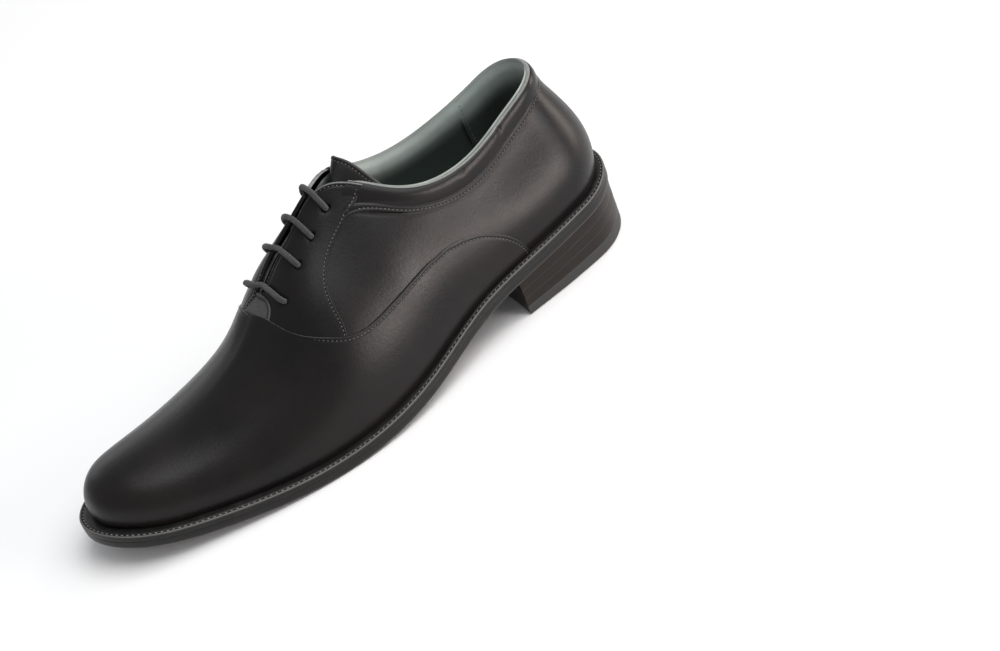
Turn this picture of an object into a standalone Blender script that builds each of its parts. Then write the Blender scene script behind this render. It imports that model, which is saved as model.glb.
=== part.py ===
"""Men's leather oxford dress shoe, left foot, size EU 43, standing on its sole.

Axes: +X is the outer side of the foot, the toe points to -Y, +Z is up, the floor is z = 0.
Every leather piece of the upper lies on one surface, the last: side +1 (outer) or -1 (inner),
u = place along the shoe (0 heel, 1 toe), v = height (0 where the upper meets the welt,
1 at the top line and along the ridge of the instep). A layer is a distance from that surface.
"""
import math

import bmesh
import bpy
import numpy as np
from mathutils import Matrix, Vector

MM = 0.001
LENGTH = 312 * MM           # sole, heel to toe
OUTSOLE = 4.2 * MM          # thickness of the leather outsole
WELT = 3.0 * MM             # thickness of the welt
GAP = 0.3 * MM              # air between neighbouring pieces
SOLE_EDGE = OUTSOLE + GAP + WELT
HEEL_LENGTH = 82 * MM
HEEL_LIFTS = 4              # leather lifts and the rubber top piece
BREAST = 3.0 * MM           # hollow of the heel's front face
HEEL_INSET = 0.8 * MM       # how far the heel stands in from the sole's edge, at its top
HEEL_TAPER = 0.5 * MM       # and how much further at the floor
CENTRE_X = 0.88 * MM        # moves the middle of the shoe to the origin
CENTRE_Y = 0.0 * MM

HEEL_ROUND, HEEL_POWER = 33.5 * MM, 2.3
TOE_ROUND, TOE_POWER = 42 * MM, 3.0
TOE_BOX, TOE_BOX_POWER = 25.5 * MM, 2.6
TOP_ROUND, TOP_POWER = 30 * MM, 2.2
RIDGE_CLOSES = 0.618        # u where the lacing gap ends

# Layers of the upper, as distances of the two faces from the last surface.
OVER = (-0.3 * MM, 1.0 * MM)        # vamp and facings
UNDER = (-2.1 * MM, -1.0 * MM)      # quarters
TAB = (-2.0 * MM, -1.3 * MM)        # half-moon at the throat
LINING = (-3.4 * MM, -2.6 * MM)
DEEP_LINING = (-5.2 * MM, -4.4 * MM)
STIFF = (-3.7 * MM, -2.9 * MM)      # heel counter
PUFF = (-1.9 * MM, -1.0 * MM)       # toe puff
EYELET = (-1.95 * MM, -1.15 * MM)   # hidden eyelets

EYELET_U = (0.585, 0.537, 0.495, 0.453)
EYELET_V = (0.81, 0.83, 0.84, 0.865)
HOLE = 2.4 * MM             # radius of the facing's holes and the eyelets' bores
LINING_HOLE = 3.0 * MM
EYELET_RIM = 3.8 * MM
LACE = 1.4 * MM             # radius of the round lace
LACE_OVER = 3.0 * MM        # height of the lace's middle above the last, outside
LACE_INSIDE = -5.9 * MM     # and inside
AGLET = 20 * MM
TONGUE = 2.0 * MM           # thickness of the padded tongue
TONGUE_HINGE_U = 0.630      # where the tongue is sewn in
SHANK_WIDTH, SHANK = 13 * MM, 1.3 * MM
INSOLE = 2.4 * MM
SOCK = 1.0 * MM
FILLING = 2.6 * MM          # cork and heel seat between the outsole and the insole
UPPER_FOOTING = 4.2 * MM    # how far the welt reaches in under the upper


def spline(points, scale=MM):
    """Natural cubic spline through (u, value) points."""
    x = np.array([a for a, _ in points], float)
    y = np.array([b for _, b in points], float) * scale
    n = len(x)
    h = np.diff(x)
    a = np.zeros((n, n))
    r = np.zeros(n)
    a[0, 0] = a[-1, -1] = 1
    for i in range(1, n - 1):
        a[i, i - 1:i + 2] = h[i - 1], 2 * (h[i - 1] + h[i]), h[i]
        r[i] = 6 * ((y[i + 1] - y[i]) / h[i] - (y[i] - y[i - 1]) / h[i - 1])
    m = np.linalg.solve(a, r)

    def value(t):
        t = np.clip(np.asarray(t, float), x[0], x[-1])
        i = np.clip(np.searchsorted(x, t, side="right") - 1, 0, n - 2)
        d = t - x[i]
        e = x[i + 1] - t
        cubic = (m[i] * e ** 3 + m[i + 1] * d ** 3) / (6 * h[i])
        return cubic + (y[i] / h[i] - m[i] * h[i] / 6) * e + (y[i + 1] / h[i] - m[i + 1] * h[i] / 6) * d
    return value


# The sole's outline, its underside and the last above it, in millimetres along u.
middle = spline([(0, 2), (.3, 5), (.5, 6.5), (.65, .5), (.8, -4), (.92, -7.5), (1, -9.5)])
half_outer = spline([(0, 29), (.1, 34), (.2, 36), (.35, 36.5), (.5, 45.5), (.62, 51.5), (.7, 51), (.8, 45),
                     (.9, 36.5), (1, 28)])
half_inner = spline([(0, 28.5), (.1, 33), (.2, 32.5), (.35, 30), (.45, 30.5), (.6, 43), (.7, 49.5), (.76, 49),
                     (.85, 41.5), (.93, 33), (1, 25)])
arch = spline([(0, 27), (.23, 20.5), (.33, 16), (.45, 7), (.57, 1.3), (.66, 0), (.75, 1.3), (.87, 5.5),
               (1, 13)])
welt_width = spline([(0, 4.3), (.25, 4.6), (.4, 5), (.55, 6), (.7, 6.8), (1, 6.8)])
height = spline([(0, 62), (.1, 58), (.2, 54), (.28, 56), (.36, 70), (.42, 87), (.5, 82.5), (.58, 68.5),
                 (.64, 52.5), (.7, 41.5), (.8, 30.5), (.9, 25), (1, 19)])
top_middle = spline([(0, -2.5), (.3, -3.5), (.42, -3.5), (.5, -4), (.6, -3), (.7, -3), (.8, -6), (.9, -8),
                     (1, -9.5)])
top_half = spline([(0, 19), (.1, 19.5), (.2, 24), (.28, 25.5), (.36, 20), (.42, 7.5), (.46, 2.5), (.5, 2),
                   (.6, 1.4), (.64, 0), (.75, 0), (1, 0)])
lean = spline([(0, 12), (.1, 6.5), (.25, 1.5), (.4, 1), (1, 0)])
belly = spline([(0, 8), (.1, 6.7), (.25, 6.1), (.4, 6), (.55, 5.5), (.7, 3.2), (.85, 2.2), (1, 2.5)])
crown_outer = spline([(0, 5), (.2, 3), (.3, 6), (.4, 12), (.5, 20), (.6, 27), (.7, 23), (.8, 19), (.9, 17),
                      (1, 15)])
crown_inner = spline([(0, 5), (.2, 3), (.3, 5), (.4, 9), (.5, 14), (.6, 21), (.7, 21), (.8, 19), (.9, 17),
                      (1, 15)])
low_pull = spline([(0, .42), (.3, .42), (.5, .45), (.7, .6), (1, .62)], 1)
high_pull = spline([(0, .35), (.3, .33), (.45, .14), (.55, .03), (.65, 0), (1, 0)], 1)


def underside(u):
    """Height of the outsole's underside: flat on the floor at the ball."""
    return np.maximum(arch(u), 0)


def to_p(u):
    """Even steps of p crowd towards both ends of the shoe, where it turns."""
    return np.arccos(1 - 2 * np.clip(u, 0, 1)) / math.pi


def to_u(p):
    return (1 - np.cos(math.pi * p)) / 2


def rounding(u, reach, power, at_toe):
    """1 along the shoe, falling to 0 in a round end."""
    s = u * LENGTH
    a = (s - (LENGTH - reach)) / reach if at_toe else (reach - s) / reach
    return np.sqrt(np.clip(1 - np.clip(a, 0, 1) ** power, 0, 1))


def outline(side, p):
    """Plan of the sole's edge: x and s, the distance from the heel."""
    u = to_u(p)
    half = np.where(side > 0, half_outer(u), half_inner(u))
    half = half * rounding(u, HEEL_ROUND, HEEL_POWER, False) * rounding(u, TOE_ROUND, TOE_POWER, True)
    return np.stack([middle(u) + side * half, u * LENGTH], -1)


def outward(side, p):
    """Unit vector in plan, square to the sole's edge."""
    step = 1e-4
    t = outline(side, np.clip(p + step, 0, 1)) - outline(side, np.clip(p - step, 0, 1))
    t = t / np.maximum(np.linalg.norm(t, axis=-1, keepdims=True), 1e-12)
    return np.stack([t[..., 1], -t[..., 0]], -1) * side[..., None]


def smooth(low, high, x):
    t = np.clip((x - low) / (high - low), 0, 1)
    return t * t * (3 - 2 * t)


def last(side, p, v):
    """The last surface in shoe axes (x, s, z); p below 0 goes on round the heel."""
    side, p, v = np.broadcast_arrays(np.asarray(side, float), np.asarray(p, float), np.asarray(v, float))
    side = np.where(p < 0, -side, side)
    p = np.abs(p)
    u = to_u(p)
    foot = np.zeros(p.shape + (3,))
    normal = np.zeros_like(foot)
    normal[..., :2] = outward(side, p)
    foot[..., :2] = outline(side, p) - normal[..., :2] * welt_width(u)[..., None]
    foot[..., 2] = underside(u) + SOLE_EDGE
    across = np.zeros_like(foot)
    across[..., 0] = side
    w = smooth(.22, .42, p)[..., None]
    normal = normal * (1 - w) + across * w
    normal = normal / np.linalg.norm(normal, axis=-1, keepdims=True)
    toe = rounding(u, TOE_ROUND, TOE_POWER, True)
    rise = height(u) * rounding(u, TOE_BOX, TOE_BOX_POWER, True)
    top = np.zeros_like(foot)
    top[..., 0] = top_middle(u) + side * top_half(u) * rounding(u, TOP_ROUND, TOP_POWER, False)
    top[..., 1] = foot[..., 1] + lean(u)
    top[..., 2] = foot[..., 2] + rise
    crown = np.where(side > 0, crown_outer(u), crown_inner(u))
    low = foot + normal * (belly(u) * toe)[..., None]
    low[..., 2] += low_pull(u) * rise
    high = top + normal * (crown * toe)[..., None]
    high[..., 2] -= high_pull(u) * rise
    v = v[..., None]
    return (1 - v) ** 3 * foot + 3 * v * (1 - v) ** 2 * low + 3 * v * v * (1 - v) * high + v ** 3 * top


def last_normal(side, p, v):
    """Outward normal of the last surface."""
    step = 2e-3
    q = np.minimum(p, 1 - 2 * step)
    w = np.maximum(v, .002)
    along = last(side, q + step, w) - last(side, q - step, w)
    up = last(side, q, w + step) - last(side, q, w - step)
    n = np.cross(along, up) * np.asarray(side, float)[..., None]
    return n / np.maximum(np.linalg.norm(n, axis=-1, keepdims=True), 1e-12)


def to_world(x):
    """Shoe axes to the part's frame."""
    return np.stack([x[..., 0] - CENTRE_X, LENGTH / 2 - x[..., 1] - CENTRE_Y, x[..., 2]], -1)


def on_last(side, p, v, off):
    """World points at a distance off the last."""
    side, p, v, off = np.broadcast_arrays(*(np.asarray(a, float) for a in (side, p, v, off)))
    return to_world(last(side, p, v) + last_normal(side, p, v) * off[..., None])


def curve(points, count):
    """Even steps along a smooth line through hand-set (u, v) points, as (p, v)."""
    xy = np.array([(to_p(u), v) for u, v in points], float)
    reach = np.append(0, np.cumsum(np.linalg.norm(np.diff(xy, axis=0), axis=1)))
    reach = reach / reach[-1]
    t = np.linspace(0, 1, count)
    cols = [spline(list(zip(reach, xy[:, k])), 1)(t) for k in (0, 1)]
    return np.stack(cols, -1)


def patch(bottom, top, start, end, nu, nv):
    """Coons patch in (p, v) between four lines of hand-set points."""
    b, t = curve(bottom, nu), curve(top, nu)
    s, e = curve(start, nv), curve(end, nv)
    a = np.linspace(0, 1, nu)[:, None, None]
    c = np.linspace(0, 1, nv)[None, :, None]
    ruled = (1 - c) * b[:, None] + c * t[:, None] + (1 - a) * s[None] + a * e[None]
    corners = (1 - a) * ((1 - c) * b[0] + c * t[0]) + a * ((1 - c) * b[-1] + c * t[-1])
    return ruled - corners


def key(side, p, v, join_ridge):
    """One name for each point that the two sides share."""
    if p > 1 - 1e-6:
        return (0, 1.0, 1.0)
    if p < 1e-6:
        return (0, 0.0, round(v, 6))
    if join_ridge and v > 1 - 1e-6 and to_u(p) > RIDGE_CLOSES - 1e-6:
        return (0, round(p, 6), 1.0)
    return (side, round(p, 6), round(v, 6))


def place(keys, off):
    """World positions of keys; a shared key is the mean of both sides."""
    side = np.array([k[0] for k in keys], float)
    p = np.array([k[1] for k in keys])
    v = np.array([k[2] for k in keys])
    off = off(to_u(p), v) if callable(off) else np.full(p.shape, off)
    outer = on_last(np.where(side == 0, 1.0, side), p, v, off)
    inner = on_last(np.where(side == 0, -1.0, side), p, v, off)
    x = np.where((side == 0)[:, None], (outer + inner) / 2, outer)
    s = LENGTH / 2 - CENTRE_Y - x[:, 1]
    x[:, 2] = np.maximum(x[:, 2], underside(s / LENGTH) + SOLE_EDGE + GAP)
    return x


def colour(name, rgb, roughness, metallic=0.0):
    """Principled material of one piece."""
    material = bpy.data.materials.get(name) or bpy.data.materials.new(name)
    material.use_nodes = True
    shader = material.node_tree.nodes["Principled BSDF"]
    shader.inputs["Base Color"].default_value = (*rgb, 1)
    shader.inputs["Roughness"].default_value = roughness
    shader.inputs["Metallic"].default_value = metallic
    return material


def calf():
    return colour("black_calf", (0.018, 0.017, 0.019), 0.35)


def lining_leather():
    return colour("lining_leather", (0.055, 0.065, 0.062), 0.6)


def sole_leather():
    return colour("sole_edge", (0.03, 0.028, 0.027), 0.42)


def heel_leather():
    return colour("heel_leather", (0.035, 0.029, 0.026), 0.4)


def natural_leather():
    return colour("natural_leather", (0.45, 0.3, 0.18), 0.75)


def new_object(name, verts, faces, material):
    """Adds a mesh object with outward faces."""
    mesh = bpy.data.meshes.new(name)
    mesh.from_pydata([tuple(v) for v in verts], [], faces)
    bm = bmesh.new()
    bm.from_mesh(mesh)
    bmesh.ops.remove_doubles(bm, verts=bm.verts, dist=2e-6)
    bmesh.ops.recalc_face_normals(bm, faces=bm.faces)
    bmesh.ops.triangulate(bm, faces=[f for f in bm.faces if len(f.verts) > 3])
    bm.to_mesh(mesh)
    bm.free()
    mesh.shade_smooth()
    mesh.set_sharp_from_angle(angle=math.radians(40))
    mesh.materials.append(material)
    obj = bpy.data.objects.new(name, mesh)
    bpy.context.scene.collection.objects.link(obj)
    return obj


def sheet_of(grids, join_ridge=False):
    """Faces of one or more (side, grid) patches, as tuples of keys."""
    faces = []
    for side, grid in grids:
        nu, nv = grid.shape[:2]
        for i in range(nu - 1):
            for j in range(nv - 1):
                corner = [grid[i, j], grid[i + 1, j], grid[i + 1, j + 1], grid[i, j + 1]]
                face = []
                for p, v in corner if side > 0 else corner[::-1]:
                    k = key(side, float(p), float(v), join_ridge)
                    if k not in face:
                        face.append(k)
                if len(face) > 2:
                    faces.append(tuple(face))
    return faces


def shell(name, faces, layer, material):
    """Closed piece of leather between the two faces of a layer."""
    keys = sorted({k for f in faces for k in f})
    index = {k: i for i, k in enumerate(keys)}
    n = len(keys)
    verts = np.concatenate([place(keys, layer[1]), place(keys, layer[0])])
    outer = [tuple(index[k] for k in f) for f in faces]
    built = list(outer) + [tuple(i + n for i in f[::-1]) for f in outer]
    edges = {(f[i], f[(i + 1) % len(f)]) for f in outer for i in range(len(f))}
    built += [(b, a, a + n, b + n) for a, b in sorted(edges) if (b, a) not in edges]
    return new_object(name, verts, built, material)


def tube(name, rings, material, closed=False):
    """Skin over a row of rings of points; open ends are capped."""
    count, size = len(rings), len(rings[0])
    faces = []
    for i in range(count if closed else count - 1):
        a, b = i * size, (i + 1) % count * size
        faces += [(a + j, a + (j + 1) % size, b + (j + 1) % size, b + j) for j in range(size)]
    if not closed:
        faces += [tuple(range(size)), tuple(range((count - 1) * size, count * size))[::-1]]
    return new_object(name, np.concatenate(rings), faces, material)


def plate(name, inset, low, high, material, start=0.0, end=1.0, rows=34, across=5, hollow=0.0):
    """Flat piece with the sole's outline less an inset, between two heights over u."""
    p = np.linspace(to_p(start), to_p(end), rows)
    edge = {}
    for side in (1, -1):
        s = np.full(rows, float(side))
        edge[side] = outline(s, p) - outward(s, p) * inset(to_u(p))[:, None]
    verts, index = [], {}
    for i in range(rows):
        for j in range(across):
            t = j / (across - 1)
            x = (1 - t) * edge[-1][i] + t * edge[1][i]
            x[1] -= hollow * (1 - (2 * t - 1) ** 2) * (i / (rows - 1)) ** 4
            single = np.linalg.norm(edge[1][i] - edge[-1][i]) < 1e-5
            if single and j:
                index[i, j] = index[i, 0]
                continue
            index[i, j] = len(verts)
            verts.append(x)
    xy = np.array(verts)
    u = xy[:, 1] / LENGTH
    n = len(xy)
    both = [to_world(np.column_stack([xy, z])) for z in (high(u), low(u))]
    quads = [(index[i, j], index[i, j + 1], index[i + 1, j + 1], index[i + 1, j])
             for i in range(rows - 1) for j in range(across - 1)]
    top = [tuple(dict.fromkeys(q)) for q in quads]
    top = [q for q in top if len(q) > 2]
    faces = top + [tuple(i + n for i in q[::-1]) for q in top]
    edges = {(q[i], q[(i + 1) % len(q)]) for q in top for i in range(len(q))}
    faces += [(b, a, a + n, b + n) for a, b in sorted(edges) if (b, a) not in edges]
    return new_object(name, np.concatenate(both), faces, material)


def flat(value):
    """A constant as a function of u."""
    return lambda u: np.full(np.shape(u), value)


def above(value):
    """Height over the outsole's underside."""
    return lambda u: underside(u) + value


# Lines on the last, as (u, v).
WING = [(.218, .005), (.230, .15), (.242, .256), (.255, .333), (.269, .397), (.283, .443), (.300, .475),
        (.317, .489), (.335, .487), (.355, .461), (.375, .429), (.399, .388), (.447, .352), (.491, .362),
        (.531, .394), (.561, .457), (.585, .548), (.603, .658), (.613, .80), (.618, 1)]
SEAM = [(.004, .84), (.05, .855), (.11, .83), (.18, .81), (.25, .79), (.31, .80), (.36, .775), (.4, .75),
        (.431, .781)]
C_SEAM = [(.433, .783), (.461, .731), (.489, .708), (.517, .662), (.535, .575), (.546, .435)]
COLLAR_END_U = .387         # front ends of the collar, at the rim
COLLAR_FOOT_U = .427        # and at its lower seam
THROAT_FOOT = to_p(.655)    # where the vamp's column from the throat reaches the welt


def vamp():
    """Vamp with its two wings, in one piece round the toe."""
    wing = curve(WING, 20)
    ridge = np.stack([np.linspace(wing[-1, 0], 1, 12), np.ones(12)], -1)[1:]
    top = np.concatenate([wing, ridge])
    foot = np.append(np.linspace(to_p(.222), THROAT_FOOT, len(wing)), np.linspace(THROAT_FOOT, 1, 12)[1:])
    t = 1 - np.linspace(1, 0, 8) ** 1.3
    grid = np.stack([(1 - t) * foot[:, None] + t * top[:, :1], t * top[:, 1:]], -1)
    shell("vamp", sheet_of([(1, grid), (-1, grid)], True), OVER, calf())


def quarter(side, name):
    """Side of the upper, from the back seam to under the facing and the vamp."""
    bottom = [(.0006, .004), (.12, .004), (.236, .004), (.27, .22), (.32, .33), (.4, .27), (.47, .24),
              (.53, .28), (.57, .38)]
    top = [(.0006, .825), (.05, .84), (.11, .815), (.18, .795), (.25, .775), (.31, .785), (.36, .76),
           (.4, .735), (.43, .75), (.465, .77), (.5, .76), (.54, .70), (.57, .60)]
    grid = patch(bottom, top, [bottom[0], top[0]], [bottom[-1], (.572, .5), top[-1]], 22, 6)
    shell(name, sheet_of([(side, grid)]), UNDER, calf())


def facing_grid():
    slit = [(.390, .992), (.43, 1), (.5, 1), (.56, 1), (.598, 1), (.609, .94), (.6145, .87)]
    start = [C_SEAM[0], (.421, .81), (.409, .863), slit[0]]
    end = [C_SEAM[-1], (.560, .475), (.582, .562), (.600, .67), (.610, .79), slit[-1]]
    return patch(C_SEAM, slit, start, end, 13, 6)


def facing(side, name):
    """Eyelet facing with its curved rear seam."""
    piece = shell(name, sheet_of([(side, facing_grid())]), OVER, calf())
    punch(piece, side, HOLE)


def punch(piece, side, radius):
    """Cuts the four lace holes."""
    for u, v in zip(EYELET_U, EYELET_V):
        p = np.array(to_p(u))
        ends = on_last(float(side), p, v, np.array([-8 * MM, 6 * MM]))
        bore(piece, ends, radius)


def bore(piece, ends, radius):
    """Boolean cut with a round bar between two points."""
    bm = bmesh.new()
    bmesh.ops.create_cone(bm, cap_ends=True, segments=10, radius1=radius, radius2=radius,
                          depth=float(np.linalg.norm(ends[1] - ends[0])))
    mesh = bpy.data.meshes.new("cutter")
    bm.to_mesh(mesh)
    bm.free()
    cutter = bpy.data.objects.new("cutter", mesh)
    bpy.context.scene.collection.objects.link(cutter)
    point_along(cutter, ends)
    cut = piece.modifiers.new("hole", "BOOLEAN")
    cut.operation = "DIFFERENCE"
    cut.object = cutter
    bpy.context.view_layer.update()
    result = bpy.data.meshes.new_from_object(piece.evaluated_get(bpy.context.evaluated_depsgraph_get()))
    piece.modifiers.clear()
    piece.data = result
    bpy.data.objects.remove(cutter)


def point_along(obj, ends):
    """Puts an object's middle and local Z on the line between two points."""
    a, b = Vector(ends[0]), Vector(ends[1])
    obj.location = (a + b) / 2
    obj.rotation_mode = "QUATERNION"
    obj.rotation_quaternion = (b - a).to_track_quat("Z", "Y")


def eyelets(side, word):
    """Blind eyelets between the facing and the lining."""
    metal = colour("eyelet_metal", (0.10, 0.09, 0.08), 0.4, 1.0)
    for row, (u, v) in enumerate(zip(EYELET_U, EYELET_V), 1):
        ends = on_last(float(side), np.array(to_p(u)), v, np.array(EYELET))
        z = (ends[1] - ends[0]) / np.linalg.norm(ends[1] - ends[0])
        x = np.cross([0, 0, 1.0], z)
        x = x / np.linalg.norm(x)
        y = np.cross(z, x)
        rings = []
        for k in range(8):
            a = 2 * math.pi * k / 8
            d = x * math.cos(a) + y * math.sin(a)
            low = [ends[0] + d * HOLE, ends[0] + d * EYELET_RIM]
            rings.append(low + [ends[1] + d * EYELET_RIM, ends[1] + d * HOLE])
        tube(f"eyelet_{word}_{row}", rings, metal, closed=True)


def vamp_lining():
    back = curve([(.562, .004), (.577, .3), (.598, .6), (.6185, .9), (.6225, 1)], 9)
    t = np.linspace(0, 1, 13)[:, None, None]
    grid = (1 - t) * back[None] + t * np.stack([np.ones(9), back[:, 1]], -1)[None]
    shell("vamp_lining", sheet_of([(1, grid), (-1, grid)], True), LINING, lining_leather())


def front_lining(side, name):
    """Quarter lining ahead of the heel, up to the lacing gap."""
    bottom = [(.146, .004), (.35, .004), (.558, .004)]
    top = [(.146, .88), (.22, .88), (.3, .88), (.36, .86), (.392, .85), (.41, .89), (.43, .965), (.5, .99), (.6, .99),
           (.614, .985)]
    rear = [bottom[0], (.141, .45), top[0]]
    front = [bottom[-1], (.573, .3), (.594, .6), (.612, .9), top[-1]]
    grid = patch(bottom, top, rear, front, 17, 7)
    piece = shell(name, sheet_of([(side, grid)]), LINING, lining_leather())
    punch(piece, side, LINING_HOLE)


def heel_lining():
    end = [(.142, .006), (.137, .45), (.142, .88)]
    grid = patch([(0, .006), end[0]], [(0, .88), end[-1]], [(0, .006), (0, .88)], end, 8, 5)
    shell("heel_lining", sheet_of([(1, grid), (-1, grid)]), DEEP_LINING, lining_leather())


def heel_counter():
    end = [(.137, .006), (.131, .35), (.115, .62)]
    grid = patch([(0, .006), end[0]], [(0, .70), (.08, .70), end[-1]], [(0, .006), (0, .70)], end, 8, 4)
    board = colour("counter_board", (.35, .27, .2), .8)
    shell("heel_counter", sheet_of([(1, grid), (-1, grid)]), STIFF, board)


def toe_puff():
    back = curve([(.855, .004), (.845, .5), (.84, 1)], 6)
    t = np.linspace(0, 1, 8)[:, None, None]
    grid = (1 - t) * back[None] + t * np.stack([np.ones(6), back[:, 1]], -1)[None]
    board = colour("puff_board", (.4, .36, .3), .8)
    shell("toe_puff", sheet_of([(1, grid), (-1, grid)], True), PUFF, board)


def collar_path():
    """Stations round the top line, from the inner facing past the heel to the outer one."""
    return np.linspace(-to_p(COLLAR_END_U), to_p(COLLAR_END_U), 33)


def seam_v(p):
    """Height of the stitched seam under the collar."""
    line = curve(SEAM, 60)
    return np.interp(np.abs(p), line[:, 0], line[:, 1])


def collar():
    """Padded band: it wraps over the top line, round a strip of foam."""
    outer = [(-.25, 0), (.9, .35), (1.7, .7), (1.2, .95), (.2, 1.05), (-1.6, 1.08), (-3.2, 1.0), (-4.1, .8),
             (-4.3, .60)]
    inner = [(-3.4, .60), (-3.2, .78), (-2.5, .9), (-1.5, .955), (0, .93), (.4, .85), (.7, .7), (0, .35),
             (-.55, .12)]
    foam = [(-.75, .2), (-.3, .36), (.35, .7), (.1, .82), (-.1, .89), (-1.5, .91), (-2.3, .86), (-2.85, .76),
            (-2.9, .66), (-1.9, .6), (-1.9, .2)]
    sweep_collar("collar", outer + inner, calf())
    sweep_collar("collar_foam", foam, colour("foam", (.75, .7, .5), .9))


def sweep_collar(name, section, material):
    """Sweeps a section, (offset in mm, share of the way from seam to rim), round the top line."""
    p = collar_path()
    base = seam_v(p)
    rings = []
    slant = to_p(COLLAR_FOOT_U) - to_p(COLLAR_END_U)
    off = np.array([a for a, _ in section]) * MM
    share = np.array([b for _, b in section])
    for q, low in zip(p, base):
        shift = np.sign(q) * slant * smooth(.75, 1, abs(q) / p[-1]) * (1 - share)
        rings.append(on_last(1.0, q + shift, low + (1 - low) * share, off))
    tube(name, rings, material)


def throat_tab():
    """Half-moon that closes the front of the lacing gap, under the facings and the vamp."""
    back, front = .591, .6215
    rows = []
    for u in np.linspace(back, front, 6):
        reach = .12 * math.sqrt(1 - .93 * ((front - u) / (front - back)) ** 2)
        rows.append(cross_row(u, reach, 4))
    strip("throat_tab", rows, tab_top, TAB[1] - TAB[0], calf())


def tab_top(u, v):
    """Upper face of the half-moon, the same everywhere."""
    return np.full(len(u), TAB[1])


def cross_row(u, reach, half):
    """Points of one row over the ridge, from the inner side to the outer one, as (side, u, v)."""
    v = [1 - reach * k / half for k in range(half, -1, -1)]
    return [(-1, u, a) for a in v] + [(1, u, a) for a in v[::-1]]


def strip(name, rows, top, thick, material, soften=0, edge=None):
    """Piece laid over the ridge in rows, its upper face at top(u, v); it may run on to a free edge."""
    faces = [[], []]
    for row in rows:
        side, u, v = (np.array(a, float) for a in zip(*row))
        for k in (0, 1):
            x = on_last(side, to_p(u), v, top(u, v) - k * thick)
            for _ in range(soften):
                x[1:-1] = (x[:-2] + 2 * x[1:-1] + x[2:]) / 4
            faces[k].append(x)
    if edge is not None:
        down = thick * inward(edge, edge - faces[0][0])
        for k in (0, 1):
            first = faces[k][0]
            for share in (1 / 3, 2 / 3, 1):
                faces[k].insert(0, first * (1 - share) + (edge + k * down) * share)
    count, size = len(faces[0]), len(rows[0])
    n = count * size
    quads = [(i * size + j, i * size + j + 1, (i + 1) * size + j + 1, (i + 1) * size + j)
             for i in range(count - 1) for j in range(size - 1)]
    edges = {(q[i], q[(i + 1) % 4]) for q in quads for i in range(4)}
    built = quads + [tuple(k + n for k in q[::-1]) for q in quads]
    built += [(b, a, a + n, b + n) for a, b in sorted(edges) if (b, a) not in edges]
    return new_object(name, np.concatenate(faces[0] + faces[1]), built, material)


def inward(edge, along):
    """Unit normals of a free edge, towards the foot."""
    n = np.cross(along, np.gradient(edge, axis=0))
    return n / np.linalg.norm(n, axis=1, keepdims=True)


# Free top edge of the tongue in the part's frame, in millimetres, from the inner side to the outer.
TONGUE_EDGE = [(-15.0, 41.0, 90.5), (-14.2, 38.3, 95.5), (-13.0, 35.7, 100.0), (-11.6, 33.6, 104.0),
               (-10.2, 32.3, 107.0), (-8.4, 32.6, 106.2), (-5.0, 34.4, 103.2), (-0.5, 37.0, 98.9),
               (4.2, 39.8, 94.2), (9.0, 42.5, 89.4)]


def tongue():
    """Padded tongue, sewn in at the throat and free above it, its crest in the lacing gap."""
    rows = []
    for u in np.linspace(.43, .632, 12):
        reach = .27 - .1 * smooth(.55, .63, u)
        rows.append(cross_row(u, reach, 4))
    edge = np.array(TONGUE_EDGE) * MM
    piece = strip("tongue", rows, tongue_depth, TONGUE, calf(), 2, edge)
    axis = tongue_axis()
    piece.data.transform(Matrix.Translation(-axis))
    piece.location = axis


def tongue_depth(u, v):
    """Upper face of the tongue: under the lace, up in the gap, and against the lining at the throat."""
    crest = 2.0 * smooth(.965, 1, v) * smooth(.61, .58, u)
    return (-8.1 + 3.9 * smooth(.600, .630, u) + crest) * MM


def tongue_axis():
    """Middle of the seam on which the tongue swings."""
    ends = on_last(np.array([1.0, -1.0]), to_p(TONGUE_HINGE_U), 1.0, tongue_depth(1.0, 1.0) - TONGUE / 2)
    return Vector((ends[0] + ends[1]) / 2)


# The lace's route by hand: (side, u, v, millimetres off the last).
def lace_route():
    """Straight lacing: four bars outside, the runs between rows and both tails inside."""
    deep = LACE_INSIDE / MM
    route = [(-1, .85, .74, -7), (-1, .80, .76, -7), (-1, .75, .73, -7), (-1, .69, .68, -7),
             (-1, .63, .69, -7), (-1, .58, .72, -7), (-1, .53, .71, -6.4), (-1, .510, .76, deep)]
    route += through(-1, 3, False) + ridge(3) + through(1, 3, True)
    route += [(1, .508, .785, deep), (1, .523, .76, deep), (1, .540, .75, deep), (1, .562, .76, deep)]
    route += through(1, 1, False) + ridge(1)[::-1] + through(-1, 1, True)
    route += [(-1, .571, .815, deep), (-1, .552, .82, deep)]
    route += through(-1, 2, False) + ridge(2) + through(1, 2, True)
    route += [(1, .524, .87, deep), (1, .510, .905, deep), (1, .492, .92, deep), (1, .472, .91, deep)]
    route += through(1, 4, False) + ridge(4)[::-1] + through(-1, 4, True)
    route += [(-1, .462, .80, deep), (-1, .475, .72, -6.4), (-1, .50, .64, -7), (-1, .55, .59, -7),
              (-1, .61, .52, -7), (-1, .67, .48, -7), (-1, .73, .52, -7), (-1, .78, .57, -7),
              (-1, .84, .56, -7)]
    return route


def ridge(row):
    """Points of a bar where it crosses the lacing gap, from the inner side to the outer."""
    u = EYELET_U[row - 1]
    over = LACE_OVER / MM
    return [(-1, u, .95, over), (-1, u, 1, over), (1, u, 1, over), (1, u, .95, over)]


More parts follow.
